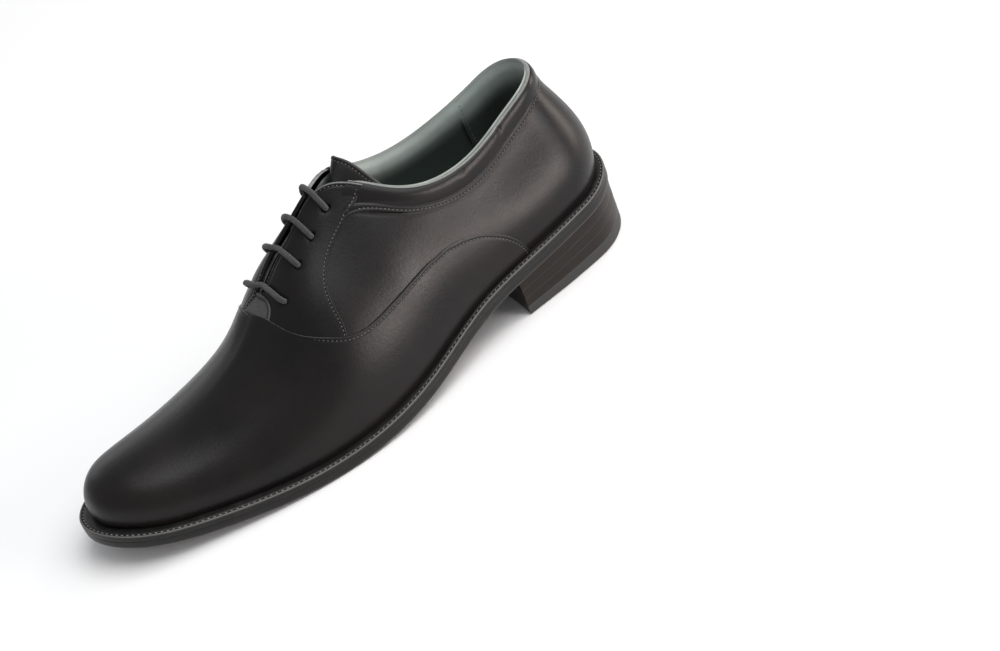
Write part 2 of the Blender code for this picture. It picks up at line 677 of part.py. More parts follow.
def through(side, row, inward):
    """Points of the lace through one hole, from inside to outside or back."""
    u, v = EYELET_U[row - 1], EYELET_V[row - 1]
    over = LACE_OVER / MM
    mm = .0105 if side > 0 else .0122       # one millimetre over the instep, as a step of v
    out = [(side, u, v, -4.3), (side, u, v, -1.2), (side, u, v + .1 * mm, .9), (side, u, v + .8 * mm, 2.3),
           (side, u, v + 2.4 * mm, over), (side, u, v + 6 * mm, over)]
    return out[::-1] if inward else out


def smooth_line(points, count):
    """A smooth line through points, its vertices closer together where it turns."""
    x = np.array(points)
    before = np.concatenate([[2 * x[0] - x[1]], x[:-1]])
    after = np.concatenate([x[1:], [2 * x[-1] - x[-2]]])
    tangent = (after - before) / 2
    t = np.linspace(0, 1, 12, endpoint=False)[:, None]
    parts = []
    for a, b, ta, tb in zip(x[:-1], x[1:], tangent[:-1], tangent[1:]):
        span = np.linalg.norm(b - a)
        ta = ta / np.linalg.norm(ta) * span
        tb = tb / np.linalg.norm(tb) * span
        parts.append((2 * t ** 3 - 3 * t ** 2 + 1) * a + (t ** 3 - 2 * t ** 2 + t) * ta
                     + (3 * t ** 2 - 2 * t ** 3) * b + (t ** 3 - t ** 2) * tb)
    line = np.concatenate(parts + [x[-1:]])
    step = np.linalg.norm(np.diff(line, axis=0), axis=1)
    heading = np.diff(line, axis=0) / step[:, None]
    turn = np.append(np.linalg.norm(np.diff(heading, axis=0), axis=1), 0)
    reach = np.append(0, np.cumsum(step + 5 * MM * turn))
    want = np.linspace(0, reach[-1], count)
    return np.stack([np.interp(want, reach, line[:, k]) for k in range(3)], -1)


def lace():
    """Round waxed lace, whole, and the aglets past its two ends."""
    side, u, v, off = (np.array(a, float) for a in zip(*lace_route()))
    line = smooth_line(on_last(side, to_p(u), v, off * MM), 80)
    data = bpy.data.curves.new("lace", "CURVE")
    data.dimensions = "3D"
    data.bevel_depth = LACE
    data.bevel_resolution = 1
    data.use_fill_caps = True
    path = data.splines.new("POLY")
    path.points.add(len(line) - 1)
    for point, x in zip(path.points, line):
        point.co = (*x, 1)
    data.materials.append(colour("lace_cotton", (.02, .02, .021), .8))
    obj = bpy.data.objects.new("lace", data)
    bpy.context.scene.collection.objects.link(obj)
    for name, end, before in (("aglet_1", line[0], line[1]), ("aglet_2", line[-1], line[-2])):
        d = Vector(end - before).normalized()
        aglet(name, Vector(end) + d * GAP, d)


def aglet(name, start, direction):
    bm = bmesh.new()
    bmesh.ops.create_cone(bm, cap_ends=True, segments=8, radius1=LACE * 1.1, radius2=LACE * .9, depth=AGLET)
    mesh = bpy.data.meshes.new(name)
    bm.to_mesh(mesh)
    bm.free()
    mesh.materials.append(colour("aglet_plastic", (.02, .02, .02), .3))
    obj = bpy.data.objects.new(name, mesh)
    bpy.context.scene.collection.objects.link(obj)
    obj.rotation_mode = "QUATERNION"
    obj.rotation_quaternion = direction.to_track_quat("Z", "Y")
    obj.location = start + direction * AGLET / 2


def outsole():
    plate("outsole", flat(0.0), above(0.0), above(OUTSOLE), sole_leather(), rows=32, across=4)


def welt():
    """Strip all round the sole's edge; the upper stands on its inner part."""
    rings = []
    for side in (1, -1):
        p = np.linspace(0, 1, 34)
        if side < 0:
            p = p[::-1][1:-1]
        edge = outline(np.full(len(p), float(side)), p)
        n = outward(np.full(len(p), float(side)), p)
        inner = edge - n * (welt_width(to_u(p))[:, None] + UPPER_FOOTING)
        for e, i in zip(edge, inner):
            low, high = OUTSOLE + GAP, SOLE_EDGE
            corners = ((e, low), (e, high), (i, high), (i, low))
            ring = [(x, s, underside(s / LENGTH) + z) for (x, s), z in corners]
            rings.append(to_world(np.array(ring)))
    tube("welt", rings, sole_leather(), closed=True)


def inside(extra):
    """Inset of a piece whose edge lies this far in from where the upper meets the welt."""
    return lambda u: welt_width(u) + extra


def bottom_filling():
    """Cork, shank and heel seat between outsole and insole."""
    low, high = above(OUTSOLE + GAP), above(OUTSOLE + GAP + FILLING)
    inset = inside(UPPER_FOOTING + GAP)
    cork = colour("cork", (.42, .28, .16), .9)
    plate("cork_filler", inset, low, high, cork, .52, .985, 14, 4)
    plate("heel_seat", inset, low, high, natural_leather(), .015, .2, 10)
    shank()


def shank():
    """Arched steel strip under the waist."""
    start, end = .21, .51
    rings = []
    for u in np.linspace(start, end, 14):
        z = float(underside(u)) + OUTSOLE + .7 * MM
        x = float(middle(u))
        half = SHANK_WIDTH / 2 * min(1, .55 + 6 * min(u - start, end - u) ** .5)
        rib = (x, z + SHANK + .4 * MM)
        ring = [(x - half, z), (x - half, z + SHANK), rib, (x + half, z + SHANK), (x + half, z)]
        rings.append([to_world(np.array([a, u * LENGTH, b])) for a, b in ring])
    tube("shank", rings, colour("steel", (.5, .5, .52), .35, 1.0))


def insole():
    """Insole inside the linings, and the half sock on it."""
    z = SOLE_EDGE + GAP
    plate("insole", inside(5.5 * MM), above(z), above(z + INSOLE), natural_leather(), .022, .985, 20, 4)
    z += INSOLE + GAP
    plate("heel_sock", inside(6.2 * MM), above(z), above(z + SOCK), lining_leather(), .024, .34, 12)


def heel():
    """Stack of tapering lifts with a rubber top piece."""
    end = HEEL_LENGTH / LENGTH
    rubber = colour("heel_rubber", (.02, .02, .02), .6)
    for k in range(HEEL_LIFTS):
        low, high = part_way(k / HEEL_LIFTS, 0.0), part_way((k + 1) / HEEL_LIFTS, GAP)
        inset = flat(HEEL_INSET + HEEL_TAPER * (1 - k / HEEL_LIFTS))
        name = f"heel_lift_{k}" if k else "top_piece"
        plate(name, inset, low, high, heel_leather() if k else rubber, 0, end, 10, 5, BREAST)


def part_way(share, less):
    """A share of the height from the floor to the outsole, as a function of u."""
    return lambda u: underside(u) * share - less


def clear_scene():
    for obj in list(bpy.data.objects):
        bpy.data.objects.remove(obj)


def build():
    clear_scene()
    outsole()
    welt()
    bottom_filling()
    insole()
    heel()
    vamp()
    for side, word in ((1, "lateral"), (-1, "medial")):
        quarter(side, "quarter_" + word)
        facing(side, "facing_" + word)
        front_lining(side, "lining_" + word)
        eyelets(side, word)
    vamp_lining()
    heel_lining()
    heel_counter()
    toe_puff()
    collar()
    throat_tab()
    tongue()
    lace()


build()
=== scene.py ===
"""Finished look of the left oxford shoe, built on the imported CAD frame.

Shoe axes: side +1 is the outer side of the foot and -1 the inner; u runs along the sole from the
heel (0) to the toe (1), v up the last from the welt (0) to the top line (1). p is u with even
steps crowded at both ends. A height "off" is in millimetres off the last.
"""
import math

import bmesh
import bpy
import numpy as np
from mathutils import Matrix, Vector


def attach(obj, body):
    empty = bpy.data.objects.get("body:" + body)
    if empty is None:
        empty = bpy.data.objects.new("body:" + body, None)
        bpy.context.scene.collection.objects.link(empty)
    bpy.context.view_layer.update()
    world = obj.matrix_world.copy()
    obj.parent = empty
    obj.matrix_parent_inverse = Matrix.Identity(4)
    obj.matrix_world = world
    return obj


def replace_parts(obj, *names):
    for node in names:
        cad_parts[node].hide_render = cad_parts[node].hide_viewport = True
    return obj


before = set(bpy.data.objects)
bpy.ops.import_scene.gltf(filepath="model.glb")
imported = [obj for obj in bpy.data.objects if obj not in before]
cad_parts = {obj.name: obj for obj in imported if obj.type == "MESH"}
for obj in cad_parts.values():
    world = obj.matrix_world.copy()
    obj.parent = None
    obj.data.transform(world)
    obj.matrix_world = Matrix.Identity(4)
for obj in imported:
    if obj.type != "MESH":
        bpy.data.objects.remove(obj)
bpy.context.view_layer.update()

MM = 0.001
LENGTH_MM = 312
LENGTH = LENGTH_MM * MM
OUTSOLE, WELT, GAP = 4.2 * MM, 3.0 * MM, 0.3 * MM
SOLE_EDGE = OUTSOLE + GAP + WELT
HEEL_LENGTH, HEEL_LIFTS, BREAST = 82 * MM, 4, 3 * MM
HEEL_INSET, HEEL_TAPER = 0.8 * MM, 0.5 * MM
CENTRE_X = 0.88 * MM
RIDGE_CLOSES = 0.618

# Heights of the visible faces off the last, in millimetres.
QUARTER = -0.3
FACING = 0.45
VAMP = 1.0
LINING = -3.4
HEEL_LINING = -4.9
LINING_JOINT = .144

# The half sock on the insole, and how far its edge lies in from the upper's.
SOCK, SOCK_END, SOCK_INSET = 1.0 * MM, .338, 6.3 * MM
SOCK_TOP = SOLE_EDGE + 4.0 * MM

EYELET_U = (0.585, 0.537, 0.495, 0.453)
EYELET_V = (0.81, 0.83, 0.84, 0.865)
LACE = 1.4 * MM
LACE_OVER, LACE_INSIDE = 2.7, -5.9


# ---------------------------------------------------------------- the last, as in the CAD model
def spline(points, scale=MM):
    """Natural cubic spline through (u, value) points."""
    x = np.array([a for a, _ in points], float)
    y = np.array([b for _, b in points], float) * scale
    n = len(x)
    h = np.diff(x)
    a = np.zeros((n, n))
    r = np.zeros(n)
    a[0, 0] = a[-1, -1] = 1
    for i in range(1, n - 1):
        a[i, i - 1:i + 2] = h[i - 1], 2 * (h[i - 1] + h[i]), h[i]
        r[i] = 6 * ((y[i + 1] - y[i]) / h[i] - (y[i] - y[i - 1]) / h[i - 1])
    m = np.linalg.solve(a, r)

    def value(t):
        t = np.clip(np.asarray(t, float), x[0], x[-1])
        i = np.clip(np.searchsorted(x, t, side="right") - 1, 0, n - 2)
        d = t - x[i]
        e = x[i + 1] - t
        cubic = (m[i] * e ** 3 + m[i + 1] * d ** 3) / (6 * h[i])
        return cubic + (y[i] / h[i] - m[i] * h[i] / 6) * e + (y[i + 1] / h[i] - m[i + 1] * h[i] / 6) * d
    return value


middle = spline([(0, 2), (.3, 5), (.5, 6.5), (.65, .5), (.8, -4), (.92, -7.5), (1, -9.5)])
half_outer = spline([(0, 29), (.1, 34), (.2, 36), (.35, 36.5), (.5, 45.5), (.62, 51.5), (.7, 51), (.8, 45),
                     (.9, 36.5), (1, 28)])
half_inner = spline([(0, 28.5), (.1, 33), (.2, 32.5), (.35, 30), (.45, 30.5), (.6, 43), (.7, 49.5), (.76, 49),
                     (.85, 41.5), (.93, 33), (1, 25)])
arch = spline([(0, 27), (.23, 20.5), (.33, 16), (.45, 7), (.57, 1.3), (.66, 0), (.75, 1.3), (.87, 5.5),
               (1, 13)])
welt_width = spline([(0, 4.3), (.25, 4.6), (.4, 5), (.55, 6), (.7, 6.8), (1, 6.8)])
height = spline([(0, 62), (.1, 58), (.2, 54), (.28, 56), (.36, 70), (.42, 87), (.5, 82.5), (.58, 68.5),
                 (.64, 52.5), (.7, 41.5), (.8, 30.5), (.9, 25), (1, 19)])
top_middle = spline([(0, -2.5), (.3, -3.5), (.42, -3.5), (.5, -4), (.6, -3), (.7, -3), (.8, -6), (.9, -8),
                     (1, -9.5)])
top_half = spline([(0, 19), (.1, 19.5), (.2, 24), (.28, 25.5), (.36, 20), (.42, 7.5), (.46, 2.5), (.5, 2),
                   (.6, 1.4), (.64, 0), (.75, 0), (1, 0)])
lean = spline([(0, 12), (.1, 6.5), (.25, 1.5), (.4, 1), (1, 0)])
belly = spline([(0, 8), (.1, 6.7), (.25, 6.1), (.4, 6), (.55, 5.5), (.7, 3.2), (.85, 2.2), (1, 2.5)])
crown_outer = spline([(0, 5), (.2, 3), (.3, 6), (.4, 12), (.5, 20), (.6, 27), (.7, 23), (.8, 19), (.9, 17),
                      (1, 15)])
crown_inner = spline([(0, 5), (.2, 3), (.3, 5), (.4, 9), (.5, 14), (.6, 21), (.7, 21), (.8, 19), (.9, 17),
                      (1, 15)])
low_pull = spline([(0, .42), (.3, .42), (.5, .45), (.7, .6), (1, .62)], 1)
high_pull = spline([(0, .35), (.3, .33), (.45, .14), (.55, .03), (.65, 0), (1, 0)], 1)


def underside(u):
    return np.maximum(arch(u), 0)


def to_p(u):
    return np.arccos(1 - 2 * np.clip(u, 0, 1)) / math.pi


def to_u(p):
    return (1 - np.cos(math.pi * p)) / 2


def rounding(u, reach, power, at_toe):
    s = u * LENGTH
    a = (s - (LENGTH - reach)) / reach if at_toe else (reach - s) / reach
    return np.sqrt(np.clip(1 - np.clip(a, 0, 1) ** power, 0, 1))


def outline(side, p):
    """Plan of the sole's edge: x and s, the distance from the heel."""
    u = to_u(p)
    half = np.where(side > 0, half_outer(u), half_inner(u))
    half = half * rounding(u, 33.5 * MM, 2.3, False) * rounding(u, 42 * MM, 3.0, True)
    return np.stack([middle(u) + side * half, u * LENGTH], -1)


def outward(side, p):
    step = 1e-4
    t = outline(side, np.clip(p + step, 0, 1)) - outline(side, np.clip(p - step, 0, 1))
    t = t / np.maximum(np.linalg.norm(t, axis=-1, keepdims=True), 1e-12)
    return np.stack([t[..., 1], -t[..., 0]], -1) * side[..., None]


def smooth(low, high, x):
    t = np.clip((x - low) / (high - low), 0, 1)
    return t * t * (3 - 2 * t)


def last(side, p, v):
    side, p, v = np.broadcast_arrays(np.asarray(side, float), np.asarray(p, float), np.asarray(v, float))
    side = np.where(p < 0, -side, side)
    p = np.abs(p)
    u = to_u(p)
    foot = np.zeros(p.shape + (3,))
    normal = np.zeros_like(foot)
    normal[..., :2] = outward(side, p)
    foot[..., :2] = outline(side, p) - normal[..., :2] * welt_width(u)[..., None]
    foot[..., 2] = underside(u) + SOLE_EDGE
    across = np.zeros_like(foot)
    across[..., 0] = side
    w = smooth(.22, .42, p)[..., None]
    normal = normal * (1 - w) + across * w
    normal = normal / np.linalg.norm(normal, axis=-1, keepdims=True)
    toe = rounding(u, 42 * MM, 3.0, True)
    rise = height(u) * rounding(u, 25.5 * MM, 2.6, True)
    top = np.zeros_like(foot)
    top[..., 0] = top_middle(u) + side * top_half(u) * rounding(u, 30 * MM, 2.2, False)
    top[..., 1] = foot[..., 1] + lean(u)
    top[..., 2] = foot[..., 2] + rise
    crown = np.where(side > 0, crown_outer(u), crown_inner(u))
    low = foot + normal * (belly(u) * toe)[..., None]
    low[..., 2] += low_pull(u) * rise
    high = top + normal * (crown * toe)[..., None]
    high[..., 2] -= high_pull(u) * rise
    v = v[..., None]
    return (1 - v) ** 3 * foot + 3 * v * (1 - v) ** 2 * low + 3 * v * v * (1 - v) * high + v ** 3 * top


def last_normal(side, p, v):
    step = 2e-3
    q = np.minimum(p, 1 - 2 * step)
    w = np.maximum(v, .002)
    along = last(side, q + step, w) - last(side, q - step, w)
    up = last(side, q, w + step) - last(side, q, w - step)
    n = np.cross(along, up) * np.asarray(side, float)[..., None]
    return n / np.maximum(np.linalg.norm(n, axis=-1, keepdims=True), 1e-12)


def to_world(x):
    return np.stack([x[..., 0] - CENTRE_X, LENGTH / 2 - x[..., 1], x[..., 2]], -1)


def on_last(side, p, v, off):
    """World points at a height in millimetres off the last."""
    side, p, v, off = np.broadcast_arrays(*(np.asarray(a, float) for a in (side, p, v, off)))
    return to_world(last(side, p, v) + last_normal(side, p, v) * (off * MM)[..., None])


def joined(side, p, v, off):
    """Points on the last, drawn together over the ridge, where the two sides lean apart."""
    p, v, off = np.broadcast_arrays(p, v, off)
    x = on_last(side, p, v, off)
    own, other = (on_last(s, p, np.ones_like(v), off) for s in (side, -side))
    near = smooth(11, 0, np.linalg.norm(x - own, axis=-1) / MM)
    return x + near[..., None] * (other - own) / 2


def curve(points, count):
    """Even steps along a smooth line through (u, v) points, as (p, v)."""
    xy = np.array([(to_p(u), v) for u, v in points], float)
    reach = np.append(0, np.cumsum(np.linalg.norm(np.diff(xy, axis=0), axis=1)))
    reach = reach / reach[-1]
    t = np.linspace(0, 1, count) if np.isscalar(count) else np.asarray(count)
    cols = [spline(list(zip(reach, xy[:, k])), 1)(t) for k in (0, 1)]
    return np.stack(cols, -1)


def patch(bottom, top, start, end, a, c):
    """Coons patch in (p, v) between four lines, at the shares a along and c across."""
    b, t = curve(bottom, a), curve(top, a)
    s, e = curve(start, c), curve(end, c)
    a, c = a[:, None, None], c[None, :, None]
    ruled = (1 - c) * b[:, None] + c * t[:, None] + (1 - a) * s[None] + a * e[None]
    corners = (1 - a) * ((1 - c) * b[0] + c * t[0]) + a * ((1 - c) * b[-1] + c * t[-1])
    return ruled - corners


# Lines on the last, as (u, v).
WING = [(.218, .005), (.230, .15), (.242, .256), (.255, .333), (.269, .397), (.283, .443), (.300, .475),
        (.317, .489), (.335, .487), (.355, .461), (.375, .429), (.399, .388), (.447, .352), (.491, .362),
        (.531, .394), (.561, .457), (.585, .548), (.603, .658), (.613, .80), (.618, 1)]
SEAM = [(.004, .84), (.05, .855), (.11, .83), (.18, .81), (.25, .79), (.31, .80), (.36, .775), (.4, .75),
        (.431, .781)]
C_SEAM = [(.433, .783), (.461, .731), (.489, .708), (.517, .662), (.535, .575), (.546, .435), (.552, .40)]
SLIT = [(.390, .992), (.43, 1), (.5, 1), (.56, 1), (.590, 1), (.602, .975), (.612, .925), (.6205, .87)]
FACING_REAR = [C_SEAM[0], (.421, .81), (.409, .863), SLIT[0]]
FACING_FRONT = [C_SEAM[-1], (.567, .445), (.590, .54), (.607, .66), (.6165, .79), SLIT[-1]]
COLLAR_END, COLLAR_FOOT = to_p(.387), to_p(.427)
THROAT_FOOT = to_p(.655)


# ---------------------------------------------------------------- meshes
def add_mesh(name, verts, faces, material, body="shoe", merge=True, tones=None, uv=None,
             sharp=None):
    """Adds a smooth mesh that rides on a body; tones is one number per vertex for the material."""
    mesh = bpy.data.meshes.new(name)
    mesh.from_pydata(np.asarray(verts).tolist(), [], faces)
    if tones is not None:
        mesh.attributes.new("tone", "FLOAT", "POINT").data.foreach_set("value", np.asarray(tones, np.float32))
    if uv is not None:
        layer = mesh.uv_layers.new(name="UVMap")
        at = np.zeros(len(mesh.loops), int)
        mesh.loops.foreach_get("vertex_index", at)
        layer.data.foreach_set("uv", np.asarray(uv, np.float32)[at].ravel())
    if merge:
        bm = bmesh.new()
        bm.from_mesh(mesh)
        bmesh.ops.remove_doubles(bm, verts=bm.verts, dist=8e-6)
        bmesh.ops.recalc_face_normals(bm, faces=bm.faces)
        bm.to_mesh(mesh)
        bm.free()
    mesh.shade_smooth()
    if sharp:
        mesh.set_sharp_from_angle(angle=math.radians(sharp))
    mesh.materials.append(material)
    obj = bpy.data.objects.new(name, mesh)
    bpy.context.scene.collection.objects.link(obj)
    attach(obj, body)
    return obj


def quads(nu, nv, start=0, loop_u=False, loop_v=False):
    """Faces of a grid of vertices, joined up round either way when asked."""
    rows, columns = (np.arange(n if loop else n - 1) for n, loop in ((nu, loop_u), (nv, loop_v)))
    i, j = np.meshgrid(rows, columns, indexing="ij")
    i2, j2 = (i + 1) % nu, (j + 1) % nv
    f = np.stack([i * nv + j, i2 * nv + j, i2 * nv + j2, i * nv + j2], -1).reshape(-1, 4) + start
    return f.tolist()


def grids(parts, loop_u=False, loop_v=False):
    """Vertices, faces and tones of several (points, tones) grids."""
    verts, faces, tones, n = [], [], [], 0
    for x, tone in parts:
        faces += quads(x.shape[0], x.shape[1], n, loop_u, loop_v)
        verts.append(x.reshape(-1, 3))
        tones.append(np.broadcast_to(tone, x.shape[:2]).ravel())
        n += x.shape[0] * x.shape[1]
    return np.concatenate(verts), faces, np.concatenate(tones)


def add_grids(name, parts, material, slot="black_calf", sharp=None, **loops):
    """Adds a mesh made of (points, tones) grids."""
    verts, faces, tones = grids(parts, **loops)
    return add_mesh(name, verts, faces, material, tones=tones, sharp=sharp)


# Distances in millimetres from a cut edge at which its rounding has rows of vertices.
EDGE_ROWS = np.array([0, .1, .22, .38, .6, .9, 1.25, 1.6, 1.85, 2.05, 2.25, 2.45, 2.7, 3.0, 3.4, 4, 4.8])


def graded(width, count, first=True, final=False):
    """Shares from 0 to 1 across a width in millimetres, crowded at the cut edges."""
    near = EDGE_ROWS * min(1, .4 * width / EDGE_ROWS[-1])
    low = near[-1] if first else 0
    high = width - (near[-1] if final else 0)
    t = list(near[:-1]) if first else []
    t += list(np.linspace(low, high, count))
    if final:
        t += list(width - near[:-1][::-1])
    return np.array(t) / width


def distance(x, line):
    """Distance in millimetres from points to a dense line."""
    out = np.empty(x.shape[:-1])
    for i in range(x.shape[0]):
        d = np.linalg.norm(x[i][:, None] - line[None], axis=-1)
        out[i] = d.min(-1)
    return out / MM


def rim(d, radius=.5, drop=.5, seam=1.7, depth=.13):
    """Height change near a cut edge: a rounded lip, then the valley that the stitches pull."""
    r = np.clip(1 - d / radius, 0, 1)
    return -drop * (1 - np.sqrt(1 - r * r)) - depth * np.exp(-((d - seam) / .45) ** 2) + .08 * np.exp(
        -((d - seam * .45) / .6) ** 2)


def inset_line(side, pv, d):
    """The line moved by d millimetres across the last, towards the sole for lines that run forwards."""
    p, v = pv[:, 0], pv[:, 1]
    step = 1e-3
    jp = (on_last(side, p + step, v, 0) - on_last(side, p - step, v, 0)) / (2 * step)
    jv = (on_last(side, p, v + step, 0) - on_last(side, p, v - step, 0)) / (2 * step)
    x = on_last(side, p, v, 0)
    t = np.gradient(x, axis=0)
    t /= np.linalg.norm(t, axis=1, keepdims=True)
    n = last_normal(np.full(len(p), float(side)), p, v)
    b = np.cross(n, t) * side * d * MM
    moved = []
    for k in range(len(p)):
        a = np.stack([jp[k], jv[k]], 1)
        moved.append(pv[k] + np.linalg.lstsq(a, b[k], rcond=None)[0])
    return np.array(moved)


def resample(x, pitch):
    """Points at an even pitch along a line."""
    reach = np.append(0, np.cumsum(np.linalg.norm(np.diff(x[:, :3], axis=0), axis=1)))
    count = max(2, int(round(reach[-1] / pitch)))
    want = np.linspace(0, reach[-1], count + 1)
    return np.stack([np.interp(want, reach, x[:, k]) for k in range(x.shape[1])], -1)


STITCH_SUNK = .16       # how far a stitch's ends lie in the leather, in millimetres


def stitches(name, rows, material, pitch=2.0, length=1.0, width=.4, rise=.2, body="shoe",
             twist=7):
    """Single stitches along rows of (points, normals), each a small capsule sunk at both ends."""
    rng = np.random.default_rng(4)
    ring = np.linspace(0, 2 * math.pi, 7)[:-1]
    stations = np.array([-1, -.82, -.4, .0, .4, .82, 1])
    girth = np.array([.25, .72, 1, 1, 1, .72, .25])
    verts, faces = [], []
    for x, n in rows:
        both = resample(np.hstack([x, n]), pitch * MM)
        for a, b in zip(both[:-1], both[1:]):
            c = (a[:3] + b[:3]) / 2
            t = b[:3] - a[:3]
            t /= np.linalg.norm(t)
            up = a[3:] + b[3:]
            up -= t * (up @ t)
            up /= np.linalg.norm(up)
            w = np.cross(up, t)
            turn = math.radians(twist + rng.normal(0, 2.5))
            t, w = t * math.cos(turn) + w * math.sin(turn), w * math.cos(turn) - t * math.sin(turn)
            half = length * MM / 2 * (1 + rng.normal(0, .03))
            k = len(verts)
            for s, g in zip(stations, girth):
                lift = rise * (1 - s * s) - STITCH_SUNK
                centre = c + t * half * s + up * lift * MM
                for q in ring:
                    round_ = w * math.cos(q) * width / 2 + up * math.sin(q) * width / 2.3
                    verts.append(centre + round_ * g * MM)
            for i in range(len(stations) - 1):
                for j in range(6):
                    a0, a1 = k + i * 6 + j, k + i * 6 + (j + 1) % 6
                    faces.append((a0, a1, a1 + 6, a0 + 6))
            faces.append(tuple(range(k, k + 6))[::-1])
            faces.append(tuple(range(k + 36, k + 42)))
    return add_mesh(name, verts, faces, material, body, merge=False)


def seam_row(side, pv, d, off, trim=0):
    """Points and normals for stitches at a distance from a line."""
    line = inset_line(side, pv, d)
    if trim:
        line = line[trim:-trim]
    s = np.full(len(line), float(side))
    return on_last(s, line[:, 0], line[:, 1], off), last_normal(s, line[:, 0], line[:, 1])


# ---------------------------------------------------------------- materials
class Nodes:
    """Short hand for building a material's nodes."""

    def __init__(self, name):
        self.material = bpy.data.materials.new(name)
        self.material.use_nodes = True
        self.tree = self.material.node_tree
        self.shader = self.tree.nodes["Principled BSDF"]

    def add(self, kind, inputs=(), **settings):
        node = self.tree.nodes.new(kind)
        for key, value in settings.items():
            setattr(node, key, value)
        for key, value in dict(inputs).items():
            if isinstance(value, bpy.types.NodeSocket):
                self.tree.links.new(value, node.inputs[key])
            else:
                node.inputs[key].default_value = value
        return node

    def where(self):
        return self.add("ShaderNodeTexCoord").outputs["Object"]

    def noise(self, scale, detail=3, rough=.55, stretch=None):
        at = self.where()
        if stretch:
            at = self.add("ShaderNodeMapping", {"Vector": at, "Scale": stretch}).outputs["Vector"]
        return self.add("ShaderNodeTexNoise", {"Vector": at, "Scale": scale, "Detail": detail,
                                               "Roughness": rough}).outputs["Fac"]

    def cells(self, scale):
        return self.add("ShaderNodeTexVoronoi", {"Vector": self.where(), "Scale": scale},
                        feature="SMOOTH_F1").outputs["Distance"]

    def span(self, value, low, high, to_low=0.0, to_high=1.0):
        return self.add("ShaderNodeMapRange", {"Value": value, "From Min": low, "From Max": high,
                                               "To Min": to_low, "To Max": to_high}).outputs["Result"]

    def mix(self, fac, a, b):
        node = self.add("ShaderNodeMix", data_type="RGBA")
        for k, value in ((0, fac), (6, a), (7, b)):
            if isinstance(value, bpy.types.NodeSocket):
                self.tree.links.new(value, node.inputs[k])
            else:
                node.inputs[k].default_value = value if k == 0 else (*value, 1)
        return node.outputs[2]

    def math(self, how, a, b=0.0):
        return self.add("ShaderNodeMath", {0: a, 1: b}, operation=how).outputs[0]

    def bump(self, height, strength, distance, under=None):
        inputs = {"Height": height, "Strength": strength, "Distance": distance}
        if under:
            inputs["Normal"] = under
        return self.add("ShaderNodeBump", inputs).outputs["Normal"]

    def set(self, **sockets):
        for key, value in sockets.items():
            key = key.replace("_", " ")
            if isinstance(value, bpy.types.NodeSocket):
                self.tree.links.new(value, self.shader.inputs[key])
            else:
                self.shader.inputs[key].default_value = value if not isinstance(value, tuple) else (*value, 1)
        return self.material


def calf(name, dark=(.0050, .0046, .0050), warm=(.0092, .0072, .0066), gloss=.31, grain=.5):
    """Smooth black calf: fine pores, faint cloudiness, a worn shine; tone 1 is a pale grey edge, a cut edge's
    own colour on some pieces and a painted highlight where the pieces put it along lit edges and faces.
    """
    n = Nodes(name)
    cloud = n.noise(22, 4, .6)
    grain_h = n.math("ADD", n.noise(800, 4, .65), n.math("MULTIPLY", n.cells(1500), .3))
    creases = n.noise(240, 3, .6, stretch=(1.0, .35, 1.0))
    tone = n.add("ShaderNodeAttribute", attribute_name="tone").outputs["Fac"]
    base = n.mix(n.span(cloud, .35, .7), dark, warm)
    # The pale edge colour serves both cut edges and painted highlights.
    edge = n.mix(n.span(n.noise(900, 2), .3, .7, .7, 1), base, (.30, .30, .29))
    base = n.mix(n.span(tone, 0, 1), base, edge)
    rough = n.span(cloud, .3, .75, gloss - .04, gloss + .06)
    rough = n.math("ADD", rough, n.span(n.noise(1200, 2), .3, .7, -.03, .03))
    rough = n.math("ADD", rough, n.span(tone, 0, 1, 0, .12))
    soft = n.bump(creases, .16, .0003)
    return n.set(Base_Color=base, Roughness=rough, Normal=n.bump(grain_h, grain, .00012, soft),
                 Specular_IOR_Level=.24)


def lining_leather(name, light=(.40, .45, .425), dark=(.28, .325, .305)):
    n = Nodes(name)
    cloud = n.noise(30, 4, .6)
    base = n.mix(n.span(cloud, .35, .68), dark, light)
    tone = n.add("ShaderNodeAttribute", attribute_name="tone").outputs["Fac"]
    # Tone 1 mixes the lining to a dark painted shade for its depths inside the shoe. The pale base colours
    # are set to the lit rim: partly the lining's own colour, partly painted highlight.
    base = n.mix(n.span(tone, 0, 1), base, (.026, .037, .032))
    height = n.math("ADD", n.noise(900, 4, .65), n.math("MULTIPLY", n.cells(1500), .5))
    return n.set(Base_Color=base, Roughness=n.span(cloud, .3, .7, .34, .44), Normal=n.bump(height, .3, .0002),
                 Sheen_Weight=.15, Sheen_Roughness=.4)


def stained_edge(name, base=(.010, .0097, .0095), light=(.024, .022, .021), gloss=.42):
    """Edge of sole leather, stained and waxed: fine fibres along it."""
    n = Nodes(name)
    fibres = n.noise(700, 4, .7, stretch=(.25, .08, 1.6))
    cloud = n.noise(35, 3)
    tone = n.add("ShaderNodeAttribute", attribute_name="tone").outputs["Fac"]
    colour = n.mix(n.span(fibres, .45, .8), base, light)
    # Tone 1 is a pale edge colour: a painted highlight on the welt's top edge; on the outsole's rounded foot
    # and the heel lifts' rims it lightens those rims.
    colour = n.mix(n.span(tone, 0, 1), colour, (.17, .165, .155))
    rough = n.math("ADD", n.span(cloud, .3, .7, gloss - .06, gloss + .06), n.span(fibres, .3, .7, -.04, .06))
    return n.set(Base_Color=colour, Roughness=rough, Normal=n.bump(fibres, .25, .00018),
                 Specular_IOR_Level=.25)


def thread(name, colour=(.07, .068, .066), rough=.5):
    n = Nodes(name)
    twist = n.noise(2600, 2)
    return n.set(Base_Color=n.mix(twist, colour, tuple(c * 2.2 for c in colour)), Roughness=rough,
                 Normal=n.bump(twist, .5, .0001), Sheen_Weight=.3)


